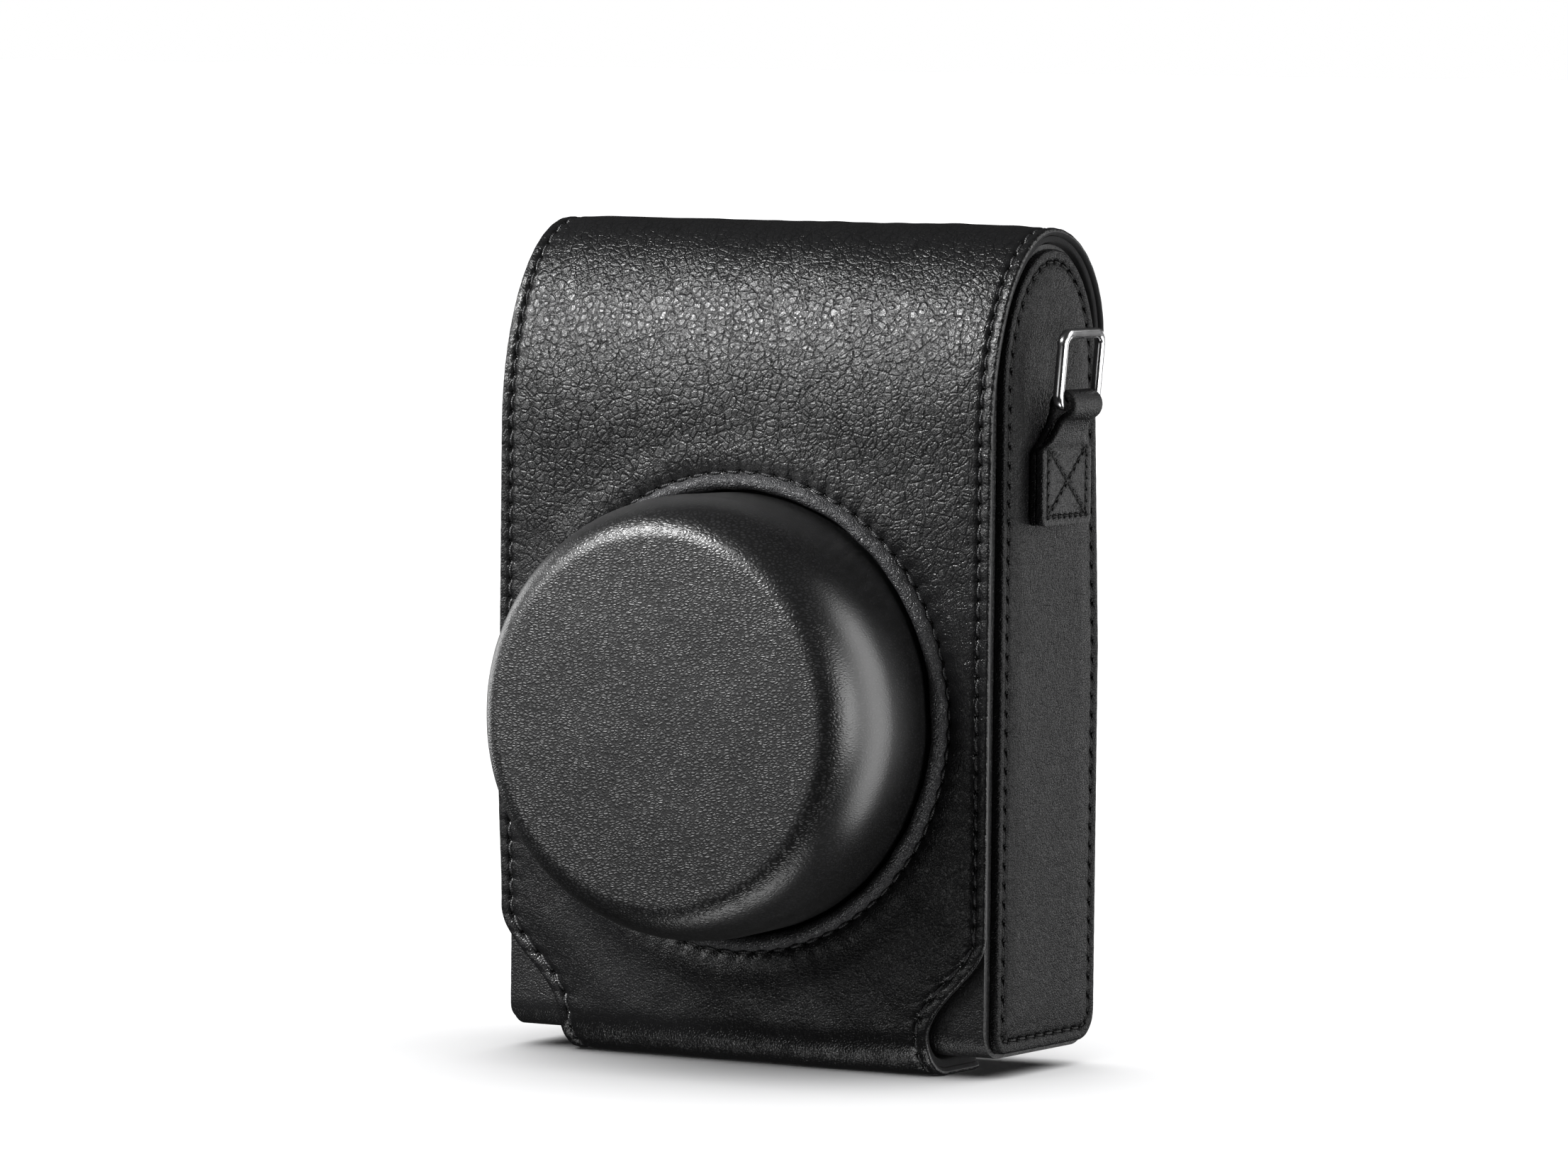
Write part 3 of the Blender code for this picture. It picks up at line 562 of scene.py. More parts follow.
def flap_leather():
    """Soft grained leather: pebbles on the upper front, fainter over the arch, and a fine grain low down. The
    creases between pebbles and the stitches' line and holes have painted shade.
    """
    nodes = Nodes("flap_leather")
    place = nodes.place(warp=0.8 * MM, warp_scale=240)
    run = nodes.axes(nodes.place())[1]
    rises = nodes.ranged(run, RUN_TOP - 6 * MM, RUN_TOP + 20 * MM, 0.5, 1.0)
    falls = nodes.ranged(run, RUN_FRONT_FOLD + 2 * MM, RUN_FRONT_FOLD + 40 * MM, 1.0, 0.22)
    line, hole, fan, beside = nodes.sewn()
    amount = nodes.math("MULTIPLY", nodes.math("MULTIPLY", rises, falls), beside)
    pebbles = nodes.cells(place, 1.30 * MM, 0.20)
    deep = nodes.cells(nodes.place((1, 0.75, 1), 1.8 * MM, 200), 3.2 * MM, 0.06)
    coarse = nodes.math("MULTIPLY", nodes.sum((0.6, pebbles), (0.4, deep)), amount)
    fine = nodes.cells(nodes.place((1.2, 1, 1), 0.4 * MM, 500), 0.42 * MM, 0.3)
    pores = nodes.noise(place, 3600, 2)
    grain = nodes.sum((0.90, coarse), (0.22, fine), (0.08, pores), (0.16, fan))
    height = nodes.sum((-0.6, line), (-0.9, hole), (1.0, grain))
    tone = nodes.noise(nodes.place(), 90, 4)
    # Painted shade: flat falls in the creases between pebbles, so the creases are coloured darker and get a
    # lower specular level.
    flat = nodes.scaled(nodes.math("SUBTRACT", coarse, amount), 0.7, 1.0)
    crease_shaded_tint = nodes.mixed(flat, grey(0.003), nodes.mixed(tone, grey(0.007), grey(0.011)))
    # Painted shade: the stitches' sunken line and needle holes are coloured near black.
    color = nodes.mixed(nodes.math("MAXIMUM", nodes.math("MULTIPLY", line, 0.8), hole), crease_shaded_tint, grey(0.001))
    worn = nodes.scaled(nodes.noise(place, 900, 3), nodes.math("MULTIPLY", amount, 0.14), 0.28)
    # Painted shade on the reflection: a lower specular level in the creases between pebbles.
    shine = nodes.scaled(flat, 0.43, 0.05, clamp=True)
    rough = nodes.scaled(flat, -0.06, worn)
    return nodes.finish(height, 0.12 * MM, color, rough, {"Specular IOR Level": shine})


def smooth_leather(name, value, depth, rough, pitch=None, shine=0.5):
    """Calf leather with small pores, faint wrinkles and a softly uneven face, sewn at this pitch if any, with
    painted shade in the stitches' line and holes.
    """
    nodes = Nodes(name)
    fine = nodes.cells(nodes.place((1, 1.3, 1), 0.5 * MM, 420), 0.5 * MM, 0.3)
    creases = nodes.wrinkles(nodes.place((1, 1, 1), 1.8 * MM), 3.6 * MM, 0.05)
    pores = nodes.noise(nodes.place(), 3000, 2)
    soft = nodes.noise(nodes.place(), 55, 2)
    height = nodes.sum((0.6, fine), (0.5, creases), (0.35, pores), (1.8, soft))
    tone = nodes.noise(nodes.place(), 70, 4)
    color = nodes.mixed(tone, grey(value * 0.75), grey(value * 1.25))
    if pitch:
        line, hole, fan, _ = nodes.sewn(0.16 * MM, pitch)
        height = nodes.sum((1.0, height), (-2.4, line), (-3.0, hole), (0.4, fan))
        # Painted shade: the stitches' sunken line and needle holes are coloured near black.
        sunken_shade = nodes.math("MAXIMUM", nodes.math("MULTIPLY", line, 0.9), hole)
        color = nodes.mixed(sunken_shade, color, grey(0.0005))
    roughness = nodes.scaled(nodes.noise(nodes.place(), 220, 4), 0.10, rough - 0.05)
    return nodes.finish(height, depth, color, roughness, {"Specular IOR Level": shine})


def cup_leather():
    """Moulded leather with a fine rippled grain, which the shoulder and the wall have stretched smoother. The
    creases between ripples have painted shade.
    """
    nodes = Nodes("cup_leather")
    ripples = nodes.cells(nodes.place((1, 1, 1.8), 0.6 * MM, 420), 0.80 * MM, 0.40)
    fine = nodes.cells(nodes.place((1.1, 1.1, 1.5), 0.3 * MM, 700), 0.45 * MM, 0.3)
    forward = nodes.axes(nodes.place())[1]
    reach = (CUP_FACE_Y + 0.1 * MM, CUP_FACE_Y + 5 * MM)
    amount = nodes.ranged(forward, *reach, 1.0, 0.25)
    smoother = nodes.ranged(forward, *reach, 0.0, 0.9)
    pores = nodes.noise(nodes.place(), 3000, 2)
    height = nodes.math("MULTIPLY", nodes.sum((0.9, ripples), (0.08, fine), (0.05, pores)), amount)
    tone = nodes.noise(nodes.place(), 60, 4)
    # Painted shade: the creases between ripples are coloured darker.
    color = nodes.mixed(ripples, grey(0.004), nodes.mixed(tone, grey(0.017), grey(0.021)))
    # Painted shade on the reflection: the creases between ripples get a lower specular level, less so on the
    # smoother shoulder.
    shine = nodes.ranged(nodes.math("MAXIMUM", ripples, smoother), 0.0, 0.9, 0.66, 0.90)
    roughness = nodes.scaled(nodes.noise(nodes.place(), 400, 3), 0.05, 0.325)
    return nodes.finish(height, 0.05 * MM, color, roughness, {"Specular IOR Level": shine})


def suede(name, value):
    """A short-napped lining with soft cloudy tones."""
    nodes = Nodes(name)
    nap = nodes.noise(nodes.place(), 2600, 6, 0.7)
    clouds = nodes.noise(nodes.place(), 60, 3, 0.6, 0.5)
    color = nodes.mixed(clouds, grey(value * 0.7), grey(value * 1.4))
    sheen = {"Sheen Weight": 0.08, "Sheen Roughness": 0.5, "Specular IOR Level": 0.25}
    return nodes.finish(nap, 0.12 * MM, color, nodes.scaled(nap, 0.1, 0.85), sheen)


def thread_finish(name, value, rough):
    """Black thread of two strands, with painted shade where they meet. Its grain holds the way along and the
    turn round each stitch.
    """
    nodes = Nodes(name)
    way, turn, _ = nodes.axes(nodes.place())
    twisted = nodes.math("ADD", nodes.math("MULTIPLY", way, 1 / (0.9 * MM)), turn)
    strands = nodes.math("ABSOLUTE", nodes.math("SINE", nodes.math("MULTIPLY", twisted, math.tau)))
    fibre = nodes.noise(nodes.place((1, 0.001, 1)), 9000, 2)
    height = nodes.sum((0.8, strands), (0.2, fibre))
    # Painted shade: the thread is coloured darker where its two strands meet.
    color = nodes.mixed(strands, grey(value * 0.3), grey(value))
    return nodes.finish(height, 0.09 * MM, color, nodes.scaled(fibre, 0.15, rough))


def uneven_finish(name, stretch, noise, tones, rough, depth, metallic=0.0):
    """A finish whose tone, roughness and bump follow one noise. Rough is the noise's share and the least."""
    nodes = Nodes(name)
    marks = nodes.noise(nodes.place(stretch), *noise)
    color = nodes.mixed(marks, *tones)
    return nodes.finish(marks, depth, color, nodes.scaled(marks, *rough), {"Metallic": metallic})


def metal(name, value, rough, depth, scale):
    """Bare metal with fine marks in its polish."""
    tones = (grey(value * 0.92, 1.01), grey(value, 1.01))
    return uneven_finish(name, (1, 1, 0.2), (scale, 4), tones, (rough * 0.6, rough * 0.7), depth, 1.0)


def pale_floor():
    nodes = Nodes("pale_floor")
    faint = nodes.noise(nodes.add("TexCoord").outputs["Object"], 40, 2)
    color = nodes.mixed(faint, (0.84, 0.84, 0.845, 1), (0.86, 0.86, 0.865, 1))
    return nodes.finish(faint, 0.01 * MM, color, 0.6)


FLAP_LEATHER = flap_leather()
SIDE_LEATHER = smooth_leather("side_leather", 0.009, 0.12 * MM, 0.33, PITCH, 0.15)
BODY_LEATHER = smooth_leather("body_leather", 0.011, 0.06 * MM, 0.38)
# Painted light: the welt's leather is coloured several times lighter than the flap's, for the light on the
# rolled ridge.
PAINTED_LIGHT_WELT_LEATHER = smooth_leather("welt_leather_painted_light", 0.045, 0.20 * MM, 0.34)
TAB_LEATHER = smooth_leather("tab_leather", 0.011, 0.10 * MM, 0.36, TAB_PITCH, 0.25)
CUP_LEATHER = cup_leather()
LINING = suede("dark_suede", 0.014)
EDGE_TONES = (grey(0.02), grey(0.035))
EDGE = uneven_finish("edge_paint", (1, 1, 1), (700, 3), EDGE_TONES, (0.2, 0.25), 0.06 * MM)
THREAD = thread_finish("waxed_thread", 0.035, 0.26)
DULL_THREAD = thread_finish("dull_thread", 0.008, 0.55)
BOARD_TONES = ((0.10, 0.095, 0.088, 1), (0.24, 0.23, 0.21, 1))
BOARD = uneven_finish("fibre_board", (1, 1, 3), (1400, 5, 0.7), BOARD_TONES, (0.1, 0.8), 0.08 * MM)
STEEL = metal("magnet_plate", 0.55, 0.34, 0.02 * MM, 900)
CHROME = metal("polished_chrome", 0.80, 0.20, 0.004 * MM, 500)


# ---- The flap ----


def flap_columns(run, margin, near_edge, middle):
    """Places across the flap at each run: at these insets from each edge, and evenly between them."""
    edges = []
    for side in (-1, 1):
        half = (flap_half_width(run, side) - margin)[:, None]
        edges.append(side * (half - near_edge * edge_slant(run, side)[:, None]))
    left, right = edges
    share = np.linspace(0, 1, middle)[1:-1]
    return np.concatenate([left, left[:, -1:] + (right - left)[:, -1:] * share, right[:, ::-1]], axis=1)


def snap_to_hole(run, x, hole):
    """Moves the grid's points just inside the hole out onto its circle, and says which quads are kept."""
    radius, angle = cup_polar(run, x)
    inside = radius < hole
    keep = ~(inside[:-1, :-1] & inside[1:, :-1] & inside[1:, 1:] & inside[:-1, 1:])
    corners = [keep[:-1, :-1], keep[1:, :-1], keep[1:, 1:], keep[:-1, 1:]]
    touched = np.zeros_like(inside)
    touched[1:-1, 1:-1] = np.logical_or.reduce(corners)
    snapped = inside & touched
    x = np.where(snapped, hole * np.cos(angle), x)
    run = np.where(snapped, run_at(CUP_Z + hole * np.sin(angle)), run)
    return run, x, keep


def flap_rows(step):
    """Runs at about this step, with one wherever the flap is split, and the row numbers of the splits."""
    bounds = (0, RUN_TOP, RUN_SPLIT, RUN_END)
    parts = []
    for low, high in zip(bounds, bounds[1:]):
        parts.append(np.linspace(low, high, round((high - low) / step) + 1)[:-1])
    splits = np.cumsum([0] + [len(part) for part in parts])
    return np.concatenate(parts + [[RUN_END]]), splits


def follow_flap(piece, part):
    """Bakes a piece of the flap's transform into its mesh, the same for part 0, 1 and 2."""
    if part == 0:
        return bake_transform(piece)
    if part == 1:
        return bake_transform(piece)
    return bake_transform(piece)


def split_sheet(pieces, splits, keep, grids, finishes):
    """Makes the pieces of a sheet in place of these nodes, and bakes each one's transform."""
    for part, (name, nodes) in enumerate(pieces):
        cells = slice(splits[part], splits[part + 1])
        some = slice(splits[part], splits[part + 1] + 1)
        piece = sheet_object(name, keep[cells], *(grid[some] for grid in grids), finishes)
        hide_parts(*nodes)
        follow_flap(piece, part)


def make_skin():
    """The flap's leather, in three pieces that meet on the arch and low on the front."""
    rows, splits = flap_rows(0.58 * MM)
    fine = [0, 0.05, 0.15, 0.3, 0.5, 0.8, 1.1, 1.4, 1.65, 1.9, 2.1, 2.3, 2.55, 2.8, 3.2, 3.7, 4.3]
    x = flap_columns(rows, 0, np.array(fine) * MM, 141)
    run, x, keep = snap_to_hole(np.broadcast_to(rows[:, None], x.shape), x, SKIN_HOLE_RADIUS)
    outer = skin_point(run, x)
    inset = np.minimum(edge_inset(run, x), RUN_END - run)
    inner = along_path(run, x, LEATHER_DEPTH + round_over(inset, EDGE_RADIUS))
    grain = np.stack([x, run, np.zeros_like(x)], axis=-1)
    grids = (outer, inner, grid_normals(outer), grain, skin_sewing(run, x))
    pieces = (
        ("flap_back_skin", ("back_panel", "flap_top_leather")),
        ("flap_front_skin", ("flap_front_leather",)),
        ("tongue_skin", ("tongue_leather",)),
    )
    split_sheet(pieces, splits, keep, grids, (FLAP_LEATHER, LINING, EDGE))


def make_flap_lining():
    """The suede lining behind the flap, in the same three pieces. Its seen side faces the case."""
    rows, splits = flap_rows(1.3 * MM)
    rows = rows[rows > RUN_BACK_FOLD]
    splits = np.searchsorted(rows, (RUN_BACK_FOLD, RUN_TOP - 1e-9, RUN_SPLIT - 1e-9, RUN_END))
    x = flap_columns(rows, LINING_MARGIN, np.array([0, 0.08, 0.25, 0.6]) * MM, 73)
    run, x, keep = snap_to_hole(np.broadcast_to(rows[:, None], x.shape), x, LINING_HOLE_RADIUS)
    inset = np.clip(edge_inset(run, x) - LINING_MARGIN / edge_slant(run, x), 0, 1)
    soft = round_over(inset, 0.35 * MM) + 0.05 * MM * undulation(np.stack([x, run], axis=-1), 18 * MM, 8)
    thicker = (TONGUE_LINING_DEPTH - LINING_DEPTHS[1]) * smoothstep(RUN_BEND, RUN_TONGUE, run)
    seen = along_path(run, x, LINING_DEPTHS[1] + thicker + soft)
    hidden = along_path(run, x, LINING_DEPTHS[0])
    grain = np.stack([x, run, np.zeros_like(x)], axis=-1)
    grids = [grid[:, ::-1] for grid in (seen, hidden, -grid_normals(seen), grain, grain)]
    pieces = (
        ("flap_top_suede", ("flap_top_lining",)),
        ("flap_front_suede", ("flap_front_lining",)),
        ("tongue_suede", ("tongue_lining",)),
    )
    split_sheet(pieces, splits, keep[:, ::-1], grids, (LINING,))


def jitter(count, seed, size):
    return np.random.default_rng(seed).normal(0, size, count)


def make_flap_stitches():
    """The thread along both edges of the flap and the tongue."""
    bounds = (RUN_BACK_FOLD - 2 * MM, RUN_TOP, RUN_SPLIT, RUN_END - STITCH_INSET - 2 * MM)
    for part, name in enumerate(("flap_back_stitches", "flap_front_stitches", "tongue_stitches")):
        first = math.ceil(bounds[part] / PITCH)
        middles = (np.arange(first, math.ceil(bounds[part + 1] / PITCH)) + 0.5) * PITCH
        starts, ends, ups = [], [], []
        for side in (-1, 1):
            slant = jitter(len(middles), 20 + side, 0.05 * MM)
            for run, sideways, points in (
                (middles - STITCH_LENGTH / 2, slant, starts),
                (middles + STITCH_LENGTH / 2, -slant, ends),
            ):
                inset = STITCH_INSET * edge_slant(run, side) + sideways
                points.append(skin_point(run, side * (flap_half_width(run, side) - inset)))
            ups.append(outward_at(middles))
        thread = thread_object(name, *(np.concatenate(group) for group in (starts, ends, ups)), THREAD)
        follow_flap(thread, part)


# ---- The lens cup ----


def round_axis(radius, angle, y):
    return np.stack([radius * np.cos(angle), y, radius * np.sin(angle)], axis=-1)


def turned(name, profile, steps, material, lift=None):
    """A closed profile of (radius, y) points turned about the cup's axis, with a lift along its normals."""
    profile = np.asarray(profile)
    angle = np.arange(steps) / steps * math.tau
    radius, y = (np.broadcast_to(profile[:, None, i], (len(profile), steps)) for i in range(2))
    if lift is not None:
        normal = leftward(np.gradient(profile, axis=0))
        raised = lift(radius, angle, round_axis(radius, angle, y))
        radius = radius + raised * normal[:, None, 0]
        y = y + raised * normal[:, None, 1]
    points = round_axis(radius, angle, y) + np.array((0, 0, CUP_Z))
    return face_outward(new_object(name, points, tube_faces(points.shape, closed=True), material), merge=True)


def cup_side(radius, face_y, foot, inset, crowned):
    """One side of the cup's wall, from its axis along the crowned face, round the shoulder and to the foot.
    The shoulder is smaller than the outer one by the inset."""
    across, along = (size - inset for size in CUP_SHOULDER)
    flat = np.linspace(0, radius - across, 26)[:-1]
    face = np.stack([flat, face_y - crowned * (1 - (flat / (radius - across)) ** 2)], axis=1)
    bend = arc((radius - across, face_y + along), (across, along), 270, 360, 30)
    wall = np.linspace(bend[-1], foot, 14)[1:]
    return np.concatenate([face, bend, wall])


def cup_unevenness(_radius, _angle, place):
    return 0.04 * MM * undulation(place, 24 * MM, 11) + 0.012 * MM * undulation(place, 9 * MM, 12)


def make_cup():
    """The moulded cup with its flange behind the skin, its lining, and the rolled welt round its foot."""
    thick = 1.5 * MM
    crowned = 0.35 * MM
    flange_y = FRONT_Y + LEATHER_DEPTH
    flange_end_y = flange_y + 0.3 * MM
    foot = (CUP_RADIUS - 0.35 * MM, flange_y)
    outside = cup_side(CUP_RADIUS, CUP_FACE_Y, foot, 0, crowned)
    foot = (CUP_RADIUS - thick, flange_end_y)
    inside = cup_side(CUP_RADIUS - thick, CUP_FACE_Y + thick, foot, thick, crowned)
    flange = [(CUP_FLANGE_RADIUS, flange_y), (CUP_FLANGE_RADIUS, flange_end_y)]
    profile = np.concatenate([outside, flange, inside[::-1]])
    cup = turned("moulded_cup", profile, 288, CUP_LEATHER, cup_unevenness)
    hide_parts("lens_cup")

    inset = thick + 0.3 * MM
    thin = 0.7 * MM
    radius = CUP_RADIUS - inset
    face_y = CUP_FACE_Y + inset
    hem_y = FRONT_Y + LINING_DEPTHS[1]
    outside = cup_side(radius, face_y, (radius, hem_y), inset, 0)
    inside = cup_side(radius - thin, face_y + thin, (radius - thin, hem_y), inset + thin, 0)
    lining = turned("cup_suede", np.concatenate([outside, inside[::-1]]), 144, LINING)
    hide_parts("lens_cup_lining")
    return [cup, lining, make_welt()]


def welt_lift(radius, angle, place):
    """Low waves, and the outer side drawn in a little where each stitch beside it goes down."""
    outer_side = smoothstep(sum(WELT_FOOT) / 2, WELT_FOOT[1], radius)
    pulled = 0.5 + 0.5 * np.cos(CUP_STITCHES * angle)
    return 0.09 * MM * undulation(place, 7 * MM, 15) - 0.22 * MM * outer_side * pulled


def make_welt():
    """Leather rolled into a ridge round the cup, coloured lighter than the flap as painted light."""
    inner, outer = WELT_FOOT
    bead = arc(((inner + outer) / 2, FRONT_Y), ((outer - inner) / 2, WELT_HEIGHT), 178, 362, 22)
    under_y = FRONT_Y + LEATHER_DEPTH
    profile = [(inner + 0.1 * MM, under_y), *bead, (SKIN_HOLE_RADIUS, under_y)]
    welt = turned("rolled_welt", profile, CUP_STITCHES * 8, PAINTED_LIGHT_WELT_LEATHER, welt_lift)
    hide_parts("cup_welt")
    return welt


def make_cup_stitches():
    angle = (np.arange(CUP_STITCHES) + 0.5) / CUP_STITCHES * math.tau
    reach = STITCH_LENGTH / 2 / CUP_STITCH_RADIUS
    slant = jitter(CUP_STITCHES, 31, 0.05 * MM)
    groups = []
    for turn, sideways in ((-reach, slant), (reach, -slant)):
        place = round_axis(CUP_STITCH_RADIUS + sideways, angle + turn, 0 * angle)
        groups.append(skin_point(run_at(CUP_Z + place[:, 2]), place[:, 0]))
    ups = np.broadcast_to((0.0, -1.0, 0.0), groups[0].shape)
    thread = thread_object("cup_stitches", *groups, ups, THREAD)
    return thread


# ---- The body's sides ----


def panel_outline():
    """The side panel's outline in (y, z), as in the frame, resampled to whole stitches."""
    low_y, high_y = PANEL_LOW.y, PANEL_HIGH.y
    back, front = (PANEL_UPPER_BACK_Y, PANEL_BACK_SPRING_Z), (low_y, PANEL_FRONT_SPRING_Z)
    points = np.concatenate([
        lower_corners(low_y, high_y, PANEL_LOW.z, PANEL_CORNERS, 40),
        [(high_y, PANEL_NARROWS_Z)],
        *crown(back, front, PANEL_HIGH.z, (90, 90)),
        [(low_y, PANEL_LOW.z + PANEL_CORNERS[0])],
    ])
    lengths = lengths_along(points)
    stitches = round(lengths[-1] / PITCH)
    count = stitches * PANEL_SAMPLES
    outline = between(np.arange(count) / count * lengths[-1], lengths, points)
    inward = leftward(np.roll(outline, -1, axis=0) - np.roll(outline, 1, axis=0))
    return outline, inward, stitches


def panel_point(outline, inward, inset):
    """The outline's points moved in by the inset and, past the corners' reach, towards the panel's spine."""
    moved = outline + inward * min(inset, PANEL_REACH)
    if inset <= PANEL_REACH:
        return moved
    middle_y = (PANEL_LOW.y + PANEL_UPPER_BACK_Y) / 2
    low, high = PANEL_SPINE_ENDS
    spine_z = np.clip(moved[:, 1], PANEL_LOW.z + low, PANEL_HIGH.z - high)
    spine = np.stack([np.full(len(moved), middle_y), spine_z], axis=1)
    return moved + (spine - moved) * (inset - PANEL_REACH) / (PANEL_SPINE_INSET - PANEL_REACH)


def side_thread(name, groups, side, radius):
    """Dull stitches on one of the case's sides, from lists of their starts and ends."""
    ups = np.broadcast_to((float(side), 0.0, 0.0), groups[0].shape)
    thread = thread_object(name, *groups, ups, DULL_THREAD, radius)
    return thread


def make_side_panel(prefix, side):
    """A leather panel with a rounded, stitched border and a slightly raised field."""
    outline, inward, stitches = panel_outline()
    phase = np.arange(len(outline)) / PANEL_SAMPLES
    base_x = PANEL_LOW.x - 0.15 * MM
    rings = [np.column_stack([np.full(len(outline), base_x), outline])]
    sewing = [np.full((len(outline), 3), UNSEWN)]
    border = [0, 0.05, 0.16, 0.32, 0.55, 0.9, 1.3, 1.6, 1.85, 2.1, 2.35, 2.6, 2.8]
    field = [3.3, 4, 5, 6.5, 8.5, 10.5, 13]
    for inset in np.array(border + field) * MM:
        place = panel_point(outline, inward, inset)
        if inset > 2.5 * MM:
            apart = np.linalg.norm(place[:, None] - outline[None], axis=-1).min(axis=1)
            inset = np.maximum(apart, 2.5 * MM)
        lift = round_over(inset, 0.5 * MM) + seam(inset - STITCH_INSET, phase, pucker=0.08)
        lift = lift + 0.28 * MM * smoothstep(STITCH_INSET, 6.5 * MM, inset)
        waves = 0.08 * MM * undulation(place, 30 * MM, 40 + side)
        waves *= smoothstep(2 * MM, 4 * MM, inset) * (1 - smoothstep(5 * MM, 8 * MM, inset))
        rings.append(np.column_stack([PANEL_HIGH.x + lift + waves, place]))
        sewing.append(np.column_stack([inset - STITCH_INSET + 0 * phase, phase, phase]))
    points = np.array(rings)
    points[..., 0] *= side
    grain = points.reshape(-1, 3)[:, [1, 2, 0]]
    faces = tube_faces(points.shape)
    panel = face_outward(new_object(prefix + "_side_leather", points, faces, SIDE_LEATHER, grain, sewing))
    panel.data.set_sharp_from_angle(angle=math.radians(60))
    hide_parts(prefix + "_side_panel")

    share = STITCH_LENGTH / PITCH / 2
    line = panel_point(outline, inward, STITCH_INSET)
    closed = np.concatenate([line, line[:1]])
    groups = []
    for offset in (0.5 - share, 0.5 + share):
        at = (np.arange(stitches) + offset) * PANEL_SAMPLES
        x = side * (PANEL_HIGH.x + seam(0, offset, pucker=0.08) + 0 * at)
        groups.append(np.column_stack([x, between(at, np.arange(len(closed)), closed)]))
    return [panel, side_thread(prefix + "_side_stitches", groups, side, 0.22 * MM)]


def prism(name, outline, low, high, axis):
    """A closed object: an outline in the two other axes, drawn out from low to high along this one."""
    ends = [np.insert(outline, axis, along, axis=1) for along in (low, high)]
    count = len(outline)
    walls = [(i, (i + 1) % count, (i + 1) % count + count, i + count) for i in range(count)]
    faces = walls + [tuple(range(count)), tuple(range(count, 2 * count))]
    return face_outward(new_object(name, np.concatenate(ends), faces, BODY_LEATHER))


def settle(obj):
    """Applies the modifiers, shades the mesh smooth and stores where each point lies."""
    evaluated = obj.evaluated_get(bpy.context.evaluated_depsgraph_get())
    data = bpy.data.meshes.new_from_object(evaluated)
    obj.modifiers.clear()
    obj.data = data
    data.shade_smooth()
    data.set_sharp_from_angle(angle=math.radians(40))
    points = np.zeros(len(data.vertices) * 3, np.float32)
    data.vertices.foreach_get("co", points)
    store(data, "grain", points)


def cut(obj, cutter):
    """Takes the cutter's shape out of the object, and the cutter out of the scene."""
    boolean = obj.modifiers.new("cut", "BOOLEAN")
    boolean.operation = "DIFFERENCE"
    boolean.object = cutter
    settle(obj)
    bpy.data.objects.remove(cutter)


def round_outer_edges(body, low_z):
    """Rounds the edges between the body's sides and its front, base and lower back corner."""
    mesh = bmesh.new()
    mesh.from_mesh(body.data)
    edges = []
    for edge in mesh.edges:
        a, b = (vert.co for vert in edge.verts)
        near_base = (a.y + b.y) / 2 < 0 or (a.z + b.z) / 2 < low_z + BODY_BENDS[1]
        if abs(a.x - b.x) < 0.001 * MM and max(a.z, b.z) < FRONT_FOLD.z + 0.01 * MM and near_base:
            edges.append(edge)
    rounded = {"offset": BODY_EDGE, "segments": 7, "profile": 0.5, "affect": "EDGES", "clamp_overlap": True}
    bmesh.ops.bevel(mesh, geom=edges, **rounded)
    mesh.to_mesh(body.data)
    mesh.free()


def make_body():
    """The body's leather: front wall, base and sides in one, with its outer edges and its mouth rounded."""
    low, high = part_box("body_shell")
    springs = ((BACK_Y - BODY_ROOF, BACK_FOLD.z), (low.y, FRONT_FOLD.z))
    crown_back, crown_front = crown(*springs, TOP_Z - BODY_ROOF, (24, 28))
    foot = lower_corners(low.y, BACK_Y, low.z, BODY_BENDS, 12)
    narrow = [(BODY_SIDE_BACK_Y, low.z + BODY_BENDS[1]), (BODY_SIDE_BACK_Y, BODY_NARROWS_Z)]
    outline = np.concatenate([foot, narrow, crown_back, crown_front[1:]])
    body = prism("body_leather_shell", outline, -high.x, high.x, 0)
    round_outer_edges(body, low.z)

    inside = high.x - BODY_WALL
    past = 5 * MM
    above, behind = TOP_Z + past, BACK_Y + past
    front_y = low.y + BODY_WALL
    inner_bends = [bend - BODY_WALL for bend in BODY_BENDS]
    cavity = lower_corners(front_y, BACK_Y - BODY_WALL, low.z + BODY_WALL, inner_bends, 12)
    opening = [(behind, low.z + BODY_BENDS[1]), (behind, above), (front_y, above)]
    cut(body, prism("cavity", np.concatenate([cavity, opening]), -inside, inside, 0))
    ahead = low.y - past
    roof = [(ahead, FRONT_WALL_TOP_Z), (behind, FRONT_WALL_TOP_Z), (behind, above), (ahead, above)]
    cut(body, prism("roof", roof, -inside, inside, 0))
    bite = arc((0, CUP_Z), LENS_CUT_RADIUS, 0, -180, 64)
    mouth = np.concatenate([[(LENS_CUT_RADIUS, above)], bite, [(-LENS_CUT_RADIUS, above)]])
    cut(body, prism("mouth", mouth, ahead, low.y + past, 1))

    bevel = body.modifiers.new("eased", "BEVEL")
    bevel.width = 0.3 * MM
    bevel.segments = 3
    bevel.limit_method = "ANGLE"
    bevel.angle_limit = math.radians(50)
    settle(body)
    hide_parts("body_shell")
    return body


# ---- Ring tabs and rings ----


def bezier(a, b, c, d, steps):
    t = np.linspace(0, 1, steps + 1)[:, None]
    a, b, c, d = (np.asarray(point) for point in (a, b, c, d))
    return a * (1 - t) ** 3 + 3 * b * t * (1 - t) ** 2 + 3 * c * t * t * (1 - t) + d * t**3


